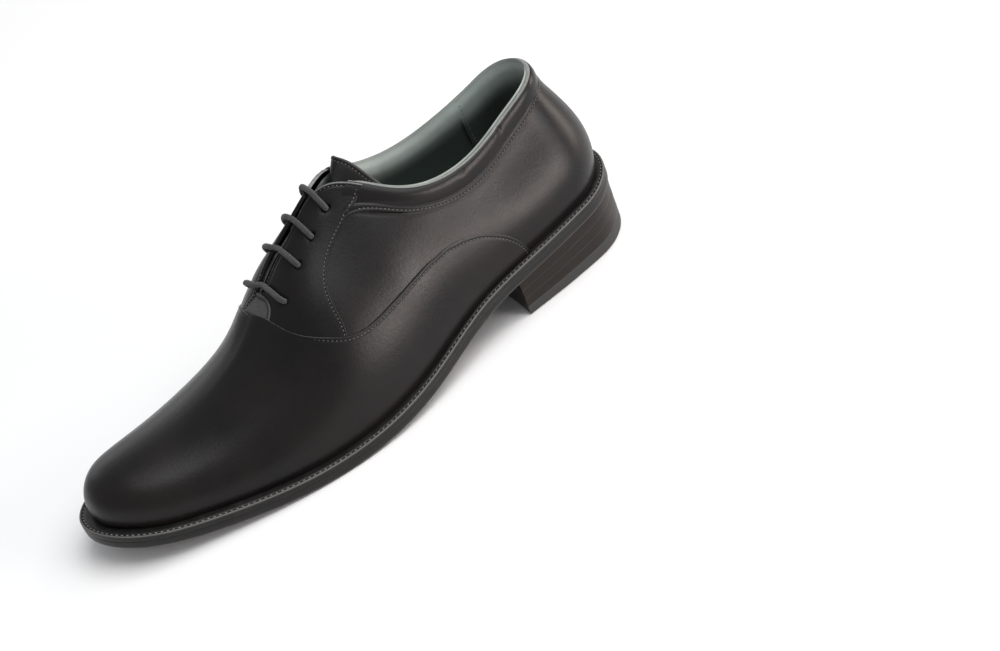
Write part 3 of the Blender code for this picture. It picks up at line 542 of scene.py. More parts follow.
def lace_cotton(name):
    """Round waxed braid: crossed strands from the UV (round, along)."""
    n = Nodes(name)
    uv = n.add("ShaderNodeTexCoord").outputs["UV"]
    across = []
    for lean_ in (1, -1):
        turned = n.add("ShaderNodeMapping", {"Vector": uv, "Rotation": (0, 0, lean_ * .9)}).outputs["Vector"]
        wave = {"Vector": turned, "Scale": 1.9, "Distortion": .6, "Detail": 1.0, "Detail Scale": 1.0}
        across.append(n.add("ShaderNodeTexWave", wave, wave_type="BANDS").outputs["Fac"])
    braid = n.math("MAXIMUM", *across)
    fuzz = n.noise(3200, 3)
    colour = n.mix(n.span(braid, .2, .9), (.010, .010, .0108), (.034, .034, .035))
    height = n.math("ADD", braid, n.math("MULTIPLY", fuzz, .4))
    return n.set(Base_Color=colour, Roughness=.72, Normal=n.bump(height, .7, .00025), Sheen_Weight=.2,
                 Sheen_Roughness=.45)


def plain(name, base, other, rough, scale, metallic=0.0, height=.2, stretch=None):
    """Two tones of grain, for the pieces inside the shoe and small parts."""
    n = Nodes(name)
    grain = n.noise(scale, 4, .6, stretch=stretch)
    colour = n.mix(n.span(grain, .35, .65), base, other)
    return n.set(Base_Color=colour, Roughness=n.span(grain, .3, .7, rough - .06, rough + .06),
                 Metallic=metallic, Normal=n.bump(grain, height, .0002))


def dress_cad_nodes():
    """Procedural finishes on the CAD nodes that stay as they are, inside the shoe."""
    finishes = {
        "natural": (plain("undyed_leather", (.42, .27, .16), (.52, .36, .22), .7, 160),
                    ("insole", "heel_seat")),
        "board": (plain("leather_board", (.30, .23, .17), (.40, .31, .23), .8, 420), ("heel_counter",)),
        "puff": (plain("stiff_textile", (.36, .33, .28), (.46, .42, .35), .85, 900), ("toe_puff",)),
        "cork": (plain("cork_mix", (.24, .15, .08), (.50, .34, .20), .9, 480, height=.6), ("cork_filler",)),
        "steel": (plain("spring_steel", (.42, .42, .44), (.56, .56, .58), .35, 900, 1.0, .05, (1, .05, 1)),
                  ("shank",)),
        "brass": (plain("dark_brass", (.09, .08, .06), (.16, .14, .11), .4, 700, 1.0),
                  [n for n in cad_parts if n.startswith("eyelet")]),
        "sheath": (plain("black_film", (.012, .012, .012), (.02, .02, .02), .28, 600, 0, .05),
                   ("aglet_1", "aglet_2")),
    }
    for material, nodes in finishes.values():
        for name in nodes:
            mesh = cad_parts[name].data
            mesh.materials.clear()
            mesh.materials.append(material)


# ---------------------------------------------------------------- uppers
def vamp(material, thread_):
    """Vamp and wings in one piece; its edge lies over the quarters and facings."""
    wing = curve(WING, 190)
    wing_x = {s: on_last(np.full(len(wing), float(s)), wing[:, 0], wing[:, 1], 0) for s in (1, -1)}
    ahead = np.concatenate([EDGE_ROWS[1:], np.linspace(6.5, 120, 75)]) / LENGTH_MM + RIDGE_CLOSES
    ahead = ahead[ahead < .995]
    ridge = np.stack([np.append(to_p(ahead), 1.0), np.ones(len(ahead) + 1)], -1)
    top = np.concatenate([wing, ridge])
    foot_p = np.append(np.linspace(to_p(.2185), THROAT_FOOT, len(wing)),
                       THROAT_FOOT + (ridge[:, 0] - wing[-1, 0]) / (1 - wing[-1, 0]) * (1 - THROAT_FOOT))
    foot = np.stack([foot_p, np.zeros(len(foot_p))], -1)
    parts = []
    for side in (1, -1):
        share = np.linspace(0, 1, 12)[:, None]
        line = on_last(float(side), top[:, 0] * (1 - share) + foot[:, 0] * share,
                       top[:, 1] * (1 - share) + foot[:, 1] * share, 0)
        width = np.linalg.norm(np.diff(line, axis=0), axis=-1).sum(0) / MM
        t = np.array([graded(w, 46) for w in np.maximum(width, 2)])
        p = top[:, :1] * (1 - t) + foot[:, :1] * t
        v = top[:, 1:] * (1 - t)
        d = distance(on_last(float(side), p, v, 0), np.concatenate([wing_x[1], wing_x[-1]]))
        off = VAMP + rim(d) - .35 * np.exp(-(v / .012) ** 2)
        u = to_u(p)
        # Tone along the wing's cut edge: a faint edge grey all along, and a painted highlight at the hump
        # near u .31 and at the throat near u .59.
        tone = np.exp(-(d / .22) ** 2) * (.03 + .5 * np.exp(-((u - .31) / .05) ** 2)
                                           + .5 * np.exp(-((u - .59) / .03) ** 2))
        tuck = np.where(np.arange(len(top)) < len(wing), -.55, off[:, 0])
        p, v = np.column_stack([p[:, 0], p]), np.column_stack([v[:, 0], v])
        off, tone = np.column_stack([tuck, off]), np.column_stack([tone[:, 0] * .4, tone])
        x = joined(float(side), p, v, off)
        x[..., 2] = np.maximum(x[..., 2], underside((LENGTH / 2 - x[..., 1]) / LENGTH) + SOLE_EDGE - .2 * MM)
        parts.append((x if side > 0 else x[:, ::-1], tone if side > 0 else tone[:, ::-1]))
    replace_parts(add_grids("vamp_leather", parts, material), "vamp")
    rows = []
    for side in (1, -1):
        rows.append(seam_row(side, curve(WING, 260), 1.7, VAMP - STITCH_SUNK, 2))
    stitches("vamp_stitches", rows, thread_)


def back_valley(x, depth=.5):
    """Groove of the back seam."""
    return -depth * np.exp(-(np.abs(x[..., 0] + CENTRE_X - middle(0.0)) / (.55 * MM)) ** 2)


def quarter(side, word, material):
    bottom = [(0, .002), (.12, .002), (.236, .002), (.27, .22), (.32, .33), (.4, .27), (.47, .24), (.53, .28),
              (.57, .38)]
    top = [(0, .86), (.05, .87), (.11, .845), (.18, .825), (.25, .805), (.31, .815), (.36, .79), (.4, .765),
           (.43, .77), (.465, .79), (.5, .78), (.54, .70), (.57, .60)]
    a = np.concatenate([np.linspace(0, .03, 9)[:-1], np.linspace(.03, 1, 150)])
    rear, front = [bottom[0], top[0]], [bottom[-1], (.572, .5), top[-1]]
    grid = patch(bottom, top, rear, front, a, np.linspace(0, 1, 70))
    p, v = np.maximum(grid[..., 0], 0), grid[..., 1]
    x = on_last(float(side), p, v, QUARTER)
    seam = curve(SEAM, 200)
    d = distance(x, on_last(float(side), seam[:, 0], seam[:, 1], QUARTER))
    off = QUARTER - .1 * np.exp(-(d / .9) ** 2) * (v < .9) + back_valley(x) * smooth(.08, .02, p)
    x = on_last(float(side), p, v, off)
    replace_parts(add_grids(f"quarter_{word}_leather", [(x, 0.0)], material), f"quarter_{word}")


def facing(side, word, material, thread_):
    """Eyelet facing with sewn edges and four dimpled lace holes."""
    a = graded(118, 108, True, False)
    c = graded(29, 44, True, True)
    grid = patch(C_SEAM, SLIT, FACING_REAR, FACING_FRONT, a, c)
    p, v = grid[..., 0], np.minimum(grid[..., 1], 1.0)
    s = float(side)
    x = on_last(s, p, v, 0)
    lines = {}
    for name, points in (("seam", C_SEAM), ("rear", FACING_REAR), ("slit", SLIT)):
        pv = curve(points, 260)
        lines[name] = on_last(s, pv[:, 0], np.minimum(pv[:, 1], 1), 0)
    d_seam, d_rear, d_slit = (distance(x, lines[k]) for k in ("seam", "rear", "slit"))
    u_ = to_u(p)
    off = FACING + rim(d_seam, .35, .12, 1.2, .08) + rim(d_rear, .4, .1, 1.4, .1)
    off += rim(d_slit, .8, .7, 1.9, .16)
    off += .45 * smooth(9, 0, d_rear) * smooth(.9, 1.0, v)
    # Painted highlight on the rolled slit edge, on its rear part only.
    tone = .9 * np.exp(-(d_slit / .5) ** 2) * (u_ < .45)
    for u, h in zip(EYELET_U, EYELET_V):
        centre = on_last(s, to_p(u), h, 0)
        r = np.linalg.norm(x - centre, axis=-1) / MM
        off -= .35 * np.exp(-(r / 2.6) ** 2) + 3.0 * smooth(1.55, 1.2, r)
    p = np.pad(p, ((1, 0), (1, 1)), mode="edge")
    v = np.pad(v, ((1, 0), (1, 1)), mode="edge")
    off, tone = np.pad(off, ((1, 0), (1, 1)), mode="edge"), np.pad(tone, ((1, 0), (1, 1)), mode="edge")
    off[0], off[:, 0], off[:, -1] = -.5, -.5, -1.3
    parts = [(on_last(s, p, v, off), np.clip(tone, 0, 1))]
    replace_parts(add_grids(f"facing_{word}_leather", parts, material), f"facing_{word}")
    rows = [seam_row(side, curve(C_SEAM, 160), -1.2, FACING - .08, 3),
            seam_row(side, curve(FACING_REAR, 60), 1.4, FACING + .1, 4)]
    slit = curve(SLIT, 220)
    slit[:, 1] = np.minimum(slit[:, 1], 1)
    rows.append(seam_row(side, slit, 1.9, FACING - .12, 6))
    stitches(f"facing_{word}_stitches", rows, thread_)


def seam_v(p):
    line = curve(SEAM, 60)
    return np.interp(np.abs(p), line[:, 0], line[:, 1])


# Section of the collar: millimetres off the last, share of the height above its seam, share of the crease.
COLLAR_SECTION = [
    (-.55, -.03, 0), (-.36, -.012, 0), (-.1, 0, 0), (-.03, .02, 0), (-.04, .055, 0), (-.12, .085, 0),
    (-.02, .115, 0), (.1, .16, 0), (.10, .21, .15), (.03, .25, .8), (.05, .28, 1.0), (.2, .32, .6),
    (.52, .40, 0), (1.0, .52, 0), (1.35, .66, 0), (1.4, .78, 0), (1.15, .90, 0), (.7, .98, 0),
    (.1, 1.035, 0), (-.6, 1.062, 0), (-1.3, 1.066, 0), (-1.8, 1.05, 0), (-2.1, 1.025, 0), (-2.1, 1.005, 0)]


def collar(material, thread_, foam):
    """Padded collar: sewn ledge, a crease, and the roll up to the top line."""
    section = np.array(COLLAR_SECTION)
    k = np.linspace(0, 1, len(section))
    fine = np.linspace(0, 1, 96)
    off, share, crease = (spline(list(zip(k, section[:, j])), 1)(fine) for j in range(3))
    p = np.linspace(-COLLAR_END, COLLAR_END, 420)
    base = seam_v(p)
    q = np.abs(p)
    slant = COLLAR_FOOT - COLLAR_END
    shift = (np.sign(p) * slant * smooth(.75, 1, q / COLLAR_END))[:, None] * (1 - share)
    shift = shift + (np.sign(p) * .012 * smooth(.9, 1, q / COLLAR_END))[:, None]
    deep = smooth(.24, .36, q) * smooth(1.0, .93, q / COLLAR_END)
    puff = 1 - .55 * smooth(.90, 1.0, q / COLLAR_END) - .35 * smooth(.34, .1, q)
    kinks = sum(a * np.exp(-((p - c) / w) ** 2) for a, c, w in ((-.35, .255, .004), (-.3, .335, .005),
                                                              (-.25, -.24, .004), (.2, .268, .006)))
    body = np.where(off > 0, off, 0)[None] * puff[:, None] + np.where(off > 0, 0, off)[None]
    height_ = body - .4 * deep[:, None] * crease[None] + kinks[:, None] * smooth(.6, .9, share)[None]
    v = base[:, None] + (1 - base)[:, None] * share[None]
    x = on_last(1.0, p[:, None] + shift, v, height_)
    # Painted highlight on the lip inside the top line.
    tone = smooth(.35, -.15, off) * (share > 1)
    obj = add_grids("collar_leather", [(x, tone[None])], material)
    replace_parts(obj, "collar")
    core = np.concatenate([height_[:, 36:80:2] - 1.5, np.maximum(height_[:, 80:36:-4] - 2.6, -2.2)], 1)
    at = np.concatenate([np.arange(36, 80, 2), np.arange(80, 36, -4)])
    inner = on_last(1.0, p[8:-8:3, None] + shift[8:-8:3, at], np.minimum(v[8:-8:3, at], .99), core[8:-8:3])
    verts, faces, _ = grids([(inner, 0.0)], loop_v=True)
    size = inner.shape[1]
    faces += [tuple(range(size))[::-1], tuple(range(len(verts) - size, len(verts)))]
    foam_obj = add_mesh("collar_padding", verts, faces, foam, merge=False)
    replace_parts(foam_obj, "collar_foam")
    row = int(np.argmin(np.abs(share - .085)))
    n = np.cross(np.gradient(x, axis=0), np.gradient(x, axis=1))[:, row]
    n /= np.linalg.norm(n, axis=1, keepdims=True)
    n *= np.sign((n * (x[:, row] * [1, .3, 0])).sum(1))[:, None]
    stitches("collar_stitches", [(x[6:-6, row], n[6:-6])], thread_)


# The tongue's thickness and its stitches' distance from the edge, in millimetres, and its free edge in the
# same unit in world axes.
TONGUE_THICK = 2.0
TONGUE_SEAM = 2.2
TONGUE_EDGE = [(-16.5, 40.5, 91.5), (-16.2, 38.0, 97.0), (-15.4, 35.0, 102.0), (-14.0, 33.0, 106.3),
               (-11.2, 32.8, 107.7), (-8.4, 33.4, 107.6), (-4.5, 35.2, 106.0), (0.5, 37.2, 102.6),
               (5.0, 39.0, 98.0), (9.6, 41.6, 92.0)]


def tongue_rows():
    """The CAD tongue's upper and lower faces, as rows from its free edge to its seam."""
    faces = [[], []]
    for u in np.linspace(.43, .632, 12):
        reach = .27 - .1 * smooth(.55, .63, u)
        half = 1 - reach * np.linspace(1, 0, 5)
        side, v = np.repeat([-1.0, 1.0], 5), np.append(half, half[::-1])
        depth = -8.1 + 3.9 * smooth(.600, .630, u) + 2.0 * smooth(.965, 1, v) * smooth(.61, .58, u)
        for k in (0, 1):
            x = on_last(side, to_p(u), v, depth - TONGUE_THICK * k)
            for _ in range(2):
                x[1:-1] = (x[:-2] + 2 * x[1:-1] + x[2:]) / 4
            faces[k].append(x)
    edge = np.array(TONGUE_EDGE) * MM
    down = np.cross(edge - faces[0][0], np.gradient(edge, axis=0))
    down *= TONGUE_THICK * MM / np.linalg.norm(down, axis=1, keepdims=True)
    for k in (0, 1):
        first = faces[k][0]
        faces[k] = [first * (1 - w) + (edge + k * down) * w for w in (1, 2 / 3, 1 / 3)] + faces[k]
    return np.array(faces)


def along_columns(shares, x, at):
    """A smooth line through each column of points at the given shares, read at others."""
    return np.stack([[spline(list(zip(shares, column[:, c])), 1)(at) for c in range(3)]
                     for column in np.moveaxis(x, 1, 0)])


def tongue(material, thread_):
    """Padded tongue; it lies in the CAD tongue's place with rounded, sewn edges."""
    rows = tongue_rows()
    nu, nv = 150, 90
    s, t = np.linspace(0, 1, rows.shape[1]), np.linspace(0, 1, 10)
    reach = np.append(0, np.cumsum(np.linalg.norm(np.diff(rows[0, :, 5], axis=0), axis=1)))
    want = 1 - (1 - np.linspace(0, 1, nu)) ** .75
    fine_s = np.interp(want, reach / reach[-1], s)
    fine_t = (1 - np.cos(np.linspace(0, math.pi, nv))) / 2
    fine_t = .5 * fine_t + .5 * np.linspace(0, 1, nv)
    faces_ = []
    for k in (0, 1):
        down = along_columns(s, rows[k], fine_s)
        lines = along_columns(t, np.moveaxis(down, 1, -1), fine_t)
        faces_.append(np.moveaxis(lines, 1, -1))
    top, low = faces_
    mid = (top + low) / 2
    along = np.pad(np.cumsum(np.linalg.norm(np.diff(mid, axis=1), axis=-1), 1), ((0, 0), (1, 0))) / MM
    edge_s = np.pad(np.cumsum(np.linalg.norm(np.diff(mid, axis=0), axis=-1), 0), ((1, 0), (0, 0))) / MM
    edge_t = np.minimum(along, along[:, -1:] - along)
    edge = np.minimum(edge_t, edge_s)
    full = np.sqrt(np.clip(1 - np.clip(1 - edge / 1.0, 0, 1) ** 2, .02, 1))
    puff = full * (1 + .1 * smooth(2.5, 6, edge)) - .16 * np.exp(-((edge - TONGUE_SEAM) / .5) ** 2)
    x_top = mid + (top - mid) * puff[..., None]
    x_low = mid + (low - mid) * full[..., None]
    tone = .3 * np.exp(-(edge / .5) ** 2)
    v1, f1, t1 = grids([(x_top, tone), (x_low, tone)])
    n = nu * nv
    loop = [i * nv for i in range(nu)] + [(nu - 1) * nv + j for j in range(1, nv)]
    loop += [i * nv + nv - 1 for i in range(nu - 2, -1, -1)] + list(range(nv - 2, 0, -1))
    f1 += [(a, b, b + n, a + n) for a, b in zip(loop, loop[1:] + loop[:1])]
    obj = add_mesh("tongue_leather", v1, f1, material, "tongue", tones=t1)
    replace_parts(obj, "tongue")
    up = np.cross(np.gradient(x_top, axis=0), np.gradient(x_top, axis=1))
    up /= np.linalg.norm(up, axis=-1, keepdims=True)
    up *= np.sign((up * (top - low)).sum(-1))[..., None]

    def seam_line(gone, end):
        return [(i, int(np.argmin(np.abs(gone[i] - TONGUE_SEAM)))) for i in range(60)
                if edge_s[i, end] > TONGUE_SEAM]

    side_, other = seam_line(along, 0), seam_line(along[:, -1:] - along, -1)
    across = [(int(np.argmin(np.abs(edge_s[:, j] - TONGUE_SEAM))), j)
              for j in range(side_[0][1], other[0][1])]
    rows_ = [np.array(path).T for path in (side_, other, across)]
    stitches("tongue_stitches", [(x_top[i, j], up[i, j]) for i, j in rows_], thread_, body="tongue")


def throat_tab(material):
    """Half-moon over the foot of the lacing gap, its straight side under the vamp."""
    back, front = .5935, .6225
    u = back + (front - back) * np.linspace(0, 1, 40) ** 1.6
    reach = .135 * np.maximum(1 - np.abs((front - .002 - u) / (front - .002 - back)) ** 2.4, 0) ** .42
    t = np.sin(np.linspace(-1, 1, 61) * math.pi / 2)
    v = 1 - reach[:, None] * np.abs(t)[None]
    edge = np.minimum((1 - np.abs(t))[None] * reach[:, None] * 85, (u - back)[:, None] * LENGTH_MM)
    off = .3 + .5 * np.sqrt(1 - np.clip(1 - edge / .8, 0, 1) ** 2) - .9 * (edge < .02)
    off += -.14 * np.exp(-((edge - 1.5) / .4) ** 2) - .35 * smooth(.6165, .6185, u)[:, None]
    halves = [joined(s, to_p(u)[:, None] * np.ones_like(v), v, off) for s in (-1.0, 1.0)]
    x = np.where((t < 0)[None, :, None], *halves)
    # The tab is lightened all over as a painted highlight and more at its cut edge, with less along the sewn
    # groove 1.4 mm in, which reads as painted shade.
    tone = .26 + .2 * np.exp(-(edge / .3) ** 2) - .22 * np.exp(-((edge - 1.4) / .5) ** 2)
    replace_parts(add_grids("throat_tab_leather", [(x, tone)], material), "throat_tab")


# ---------------------------------------------------------------- linings
def lining_height(p, v, base):
    """Inner face of the lining: padded under the collar, tucked under its lip."""
    around = smooth(to_p(.43), to_p(.385), np.abs(p))
    padded = -.9 * np.exp(-((v - .86) / .075) ** 2) + 1.6 * smooth(.93, 1.03, v)
    return base + around * padded


def heel_lining_height(p, v):
    """Inner face of the heel lining, which laps over the linings of the quarters below the padding."""
    low = smooth(.9, .74, v)
    lip = .4 * smooth(.008, 0, to_p(LINING_JOINT) - np.abs(p))
    return lining_height(p, v, HEEL_LINING * low + (LINING + .05) * (1 - low)) + lip * low


def painted_lining_shade(v):
    """Painted shade on the lining: none at the rim, where the pale base colour stands for the lit lining, and
    full painted shade lower down inside the shoe.
    """
    return smooth(.97, .72, v)


def lining_pieces(material, thread_):
    # The linings carry a painted shade as their tone, darker lower down inside the shoe.
    share = np.linspace(0, 1, 60)
    for side, word in ((1, "lateral"), (-1, "medial")):
        p = np.linspace(to_p(LINING_JOINT - .014), to_p(.6), 150)
        top = 1.03 - .045 * smooth(to_p(.385), to_p(.42), p)
        v = top[:, None] * share[None]
        x = on_last(float(side), p[:, None], v, lining_height(p[:, None], v, LINING))
        obj = add_grids(f"lining_{word}_leather", [(x, painted_lining_shade(v))], material, "lining_leather")
        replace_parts(obj, f"lining_{word}")
    p = np.linspace(-to_p(LINING_JOINT), to_p(LINING_JOINT), 130)
    v = 1.03 * share[None] * np.ones((len(p), 1))
    x = on_last(1.0, p[:, None], v, heel_lining_height(p[:, None], v))
    obj = add_grids("heel_lining_leather", [(x, painted_lining_shade(v))], material, "lining_leather")
    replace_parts(obj, "heel_lining")
    # The vamp lining, deep in the toe, gets the full dark painted shade.
    p = np.linspace(to_p(.56), 1, 90)
    parts = []
    for side in (1.0, -1.0):
        grid_p = np.maximum(p[:, None], to_p(.56 + .084 * smooth(0, .7, share))[None])
        parts.append((on_last(side, grid_p, share[None] * np.ones_like(grid_p), LINING), 1.0))
    obj = add_grids("vamp_lining_leather", parts, material, "lining_leather")
    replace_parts(obj, "vamp_lining")
    rows = []
    for side in (1, -1):
        v = np.linspace(.25, .97, 60)
        s = np.full(60, float(side))
        q = np.full(60, to_p(LINING_JOINT - .007))
        rows.append((on_last(s, q, v, heel_lining_height(q, v)), -last_normal(s, q, v)))
    stitches("lining_stitches", rows, thread_, 2.4, 1.8)


def heel_sock(material):
    """Half sock on the insole: round at the heel, straight in front."""
    p = np.append(np.linspace(0, 1, 90) ** 1.5, 1) * to_p(SOCK_END)
    t = np.concatenate([[0, 0, .012], np.linspace(.04, .96, 20), [.988, 1, 1]])
    drop = np.concatenate([[1, .2, 0], np.zeros(20), [0, .2, 1]])[None] * np.ones((len(p), 1))
    drop[-1] = 1
    plan = across_sole(p, (welt_width(to_u(p)) + SOCK_INSET)[:, None], t)
    z = underside(plan[..., 1] / LENGTH) + SOCK_TOP - drop * SOCK
    parts = [(to_world(np.concatenate([plan, z[..., None]], -1)), 0.0)]
    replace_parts(add_grids("heel_sock_leather", parts, material, "lining_leather"), "heel_sock")


# ---------------------------------------------------------------- sole and heel
def sole_loop(count):
    """Points round the sole's edge with their outward directions."""
    p = np.linspace(0, 1, count)
    xs, ns = [], []
    for side in (1.0, -1.0):
        q = p if side > 0 else p[::-1][1:-1]
        s = np.full(len(q), side)
        xs.append(outline(s, q))
        ns.append(outward(s, q))
    return np.concatenate(xs), np.concatenate(ns)


def sole_sweep(profile, count=420):
    """A profile of (distance in from the edge, height over the underside), in mm, swept round the sole."""
    x, n = sole_loop(count)
    prof = np.array(profile) * MM
    at = x[:, None] - n[:, None] * prof[None, :, :1]
    z = underside(at[..., 1] / LENGTH) + prof[None, :, 1]
    return to_world(np.concatenate([at, z[..., None]], -1))


def across_sole(p, inset, t):
    """Plan points at the shares t across the sole, between its edges moved in by an inset."""
    sides = np.full(len(p), -1.0), np.full(len(p), 1.0)
    inner, outer = (outline(s, p) - outward(s, p) * inset for s in sides)
    return inner[:, None] * (1 - t[None, :, None]) + outer[:, None] * t[None, :, None]


# Sections of the sole: distance in from the edge and height over the underside, in millimetres.
WELT_PROFILE = [(4.2, 4.42), (.3, 4.42), (.06, 4.44), (.01, 4.52), (0, 5.3), (0, 6.3), (.05, 6.85), (.2, 7.2),
                (.45, 7.38), (.8, 7.42), (1.05, 7.34), (1.3, 7.1), (1.6, 6.98), (2.0, 6.95), (2.35, 7.02),
                (2.6, 7.25), (2.9, 7.42), (3.4, 7.47), (8.5, 7.5)]
# Painted highlight along the welt's top outer edge.
WELT_PAINTED_HIGHLIGHT = [0, 0, 0, 0, 0, 0, .1, .5, .8, .6, .1, 0, 0, 0, 0, 0, 0, 0, 0]
OUTSOLE_PROFILE = [(3.5, .0), (.9, .0), (.45, .1), (.15, .4), (.03, .9), (0, 1.6), (0, 3.3), (.01, 4.3),
                   (.06, 4.38), (.3, 4.41), (3.5, 4.41)]
OUTSOLE_TONE = [0, 0, .25, .3, .1, 0, 0, 0, 0, 0, 0]
WELT_SEAM = (1.8, 7.0)
UNDERSIDE_INSET = 1.2 * MM


def sole(material, bottom_material, thread_):
    edges = {"welt": (WELT_PROFILE, WELT_PAINTED_HIGHLIGHT), "outsole": (OUTSOLE_PROFILE, OUTSOLE_TONE)}
    for node, (profile, tone) in edges.items():
        parts = [(sole_sweep(profile), np.array(tone)[None])]
        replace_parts(add_grids(f"{node}_edge", parts, material, "sole_edge", 60, loop_u=True), node)
    plan = across_sole(np.linspace(.004, .996, 220), UNDERSIDE_INSET, np.linspace(0, 1, 40))
    low = np.concatenate([plan, underside(plan[..., 1:] / LENGTH) + .005 * MM], -1)
    verts, faces, _ = grids([(to_world(low), 0.0)])
    add_mesh("outsole_underside", verts, faces, bottom_material)
    seam = sole_sweep([WELT_SEAM], 700)
    up = np.tile([0, 0, 1.0], (len(seam), 1))
    stitches("welt_stitches", [(seam[:, 0], up)], thread_, 2.75, 1.3, .5, .4, twist=14)


def heel(material, rubber):
    """Stacked lifts with waxed edges and a hollow front face."""
    end = HEEL_LENGTH / LENGTH
    p = np.linspace(0, 1, 70) ** .8 * to_p(end)
    back = [(1.0, p[::-1]), (-1.0, p[1:])]
    for k in range(HEEL_LIFTS):
        lo, hi = k / HEEL_LIFTS, (k + 1) / HEEL_LIFTS
        inset = HEEL_INSET + HEEL_TAPER * (1 - lo)
        fractions = [(0, .14), (.02, .07), (.05, .02), (.1, 0), (.5, -.02), (.9, 0), (.95, .01), (.98, .05),
                     (1, .12)]
        if k == 0:
            fractions[:3] = [(0, .5), (.04, .2), (.1, .05)]
        rings = []
        for f, extra in fractions:
            at = []
            for side, q in back:
                s = np.full(len(q), side)
                at.append(outline(s, q) - outward(s, q) * (inset + extra * MM))
            at = np.concatenate(at)
            a, b = at[-1], at[0]
            t = np.linspace(0, 1, 26)[1:-1, None]
            breast = a * (1 - t) + b * t
            breast[:, 1] -= BREAST * (1 - (2 * t[:, 0] - 1) ** 2) + extra * MM
            at = np.concatenate([at, breast])
            bottom = underside(at[:, 1] / LENGTH) * lo
            top = underside(at[:, 1] / LENGTH) * hi - .02 * MM
            rings.append(np.column_stack([at, bottom + (top - bottom) * f]))
        rings = to_world(np.array(rings))
        faces = quads(len(rings), rings.shape[1], 0, False, True)
        size = rings.shape[1]
        faces += [tuple(range(size))[::-1], tuple(range((len(rings) - 1) * size, len(rings) * size))]
        tone = np.repeat([f[1] * .2 for f in fractions], size)
        node = f"heel_lift_{k}" if k else "top_piece"
        obj = add_mesh(node + "_edge", rings.reshape(-1, 3), faces, material if k else rubber,
                       tones=np.clip(tone, 0, .3), sharp=35)
        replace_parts(obj, node)


# ---------------------------------------------------------------- lace
def lace_route():
    """The CAD lace's route as listed points: (side, u, v, millimetres off the last)."""
    deep = LACE_INSIDE
    route = [(-1, .85, .74, -7), (-1, .80, .76, -7), (-1, .75, .73, -7), (-1, .69, .68, -7),
             (-1, .63, .69, -7), (-1, .58, .72, -7), (-1, .53, .71, -6.4), (-1, .510, .76, deep)]
    route += through(-1, 3, False) + ridge(3) + through(1, 3, True)
    route += [(1, .508, .785, deep), (1, .523, .76, deep), (1, .540, .75, deep), (1, .562, .76, deep)]
    route += through(1, 1, False) + ridge(1)[::-1] + through(-1, 1, True)
    route += [(-1, .571, .815, deep), (-1, .552, .82, deep)]
    route += through(-1, 2, False) + ridge(2) + through(1, 2, True)
    route += [(1, .524, .87, deep), (1, .510, .905, deep), (1, .492, .92, deep), (1, .472, .91, deep)]
    route += through(1, 4, False) + ridge(4)[::-1] + through(-1, 4, True)
    route += [(-1, .462, .80, deep), (-1, .475, .72, -6.4), (-1, .50, .64, -7), (-1, .55, .59, -7),
              (-1, .61, .52, -7), (-1, .67, .48, -7), (-1, .73, .52, -7), (-1, .78, .57, -7),
              (-1, .84, .56, -7)]
    return route


def ridge(row):
    u = EYELET_U[row - 1]
    return [(-1, u, .95, LACE_OVER), (-1, u, 1, LACE_OVER), (1, u, 1, LACE_OVER), (1, u, .95, LACE_OVER)]


def through(side, row, inward):
    u, v = EYELET_U[row - 1], EYELET_V[row - 1]
    mm = .0105 if side > 0 else .0122
    out = [(side, u, v, -4.3), (side, u, v, -1.2), (side, u, v + .1 * mm, .9), (side, u, v + .8 * mm, 2.1),
           (side, u, v + 2.4 * mm, LACE_OVER), (side, u, v + 6 * mm, LACE_OVER)]
    return out[::-1] if inward else out


def smooth_line(x, count):
    before = np.concatenate([[2 * x[0] - x[1]], x[:-1]])
    after = np.concatenate([x[1:], [2 * x[-1] - x[-2]]])
    tangent = (after - before) / 2
    t = np.linspace(0, 1, 12, endpoint=False)[:, None]
    parts = []
    for a, b, ta, tb in zip(x[:-1], x[1:], tangent[:-1], tangent[1:]):
        size = np.linalg.norm(b - a)
        ta = ta / np.linalg.norm(ta) * size
        tb = tb / np.linalg.norm(tb) * size
        parts.append((2 * t ** 3 - 3 * t ** 2 + 1) * a + (t ** 3 - 2 * t ** 2 + t) * ta
                     + (3 * t ** 2 - 2 * t ** 3) * b + (t ** 3 - t ** 2) * tb)
    line = np.concatenate(parts + [x[-1:]])
    reach = np.append(0, np.cumsum(np.linalg.norm(np.diff(line, axis=0), axis=1)))
    want = np.linspace(0, reach[-1], count)
    return np.stack([np.interp(want, reach, line[:, k]) for k in range(3)], -1), reach[-1]


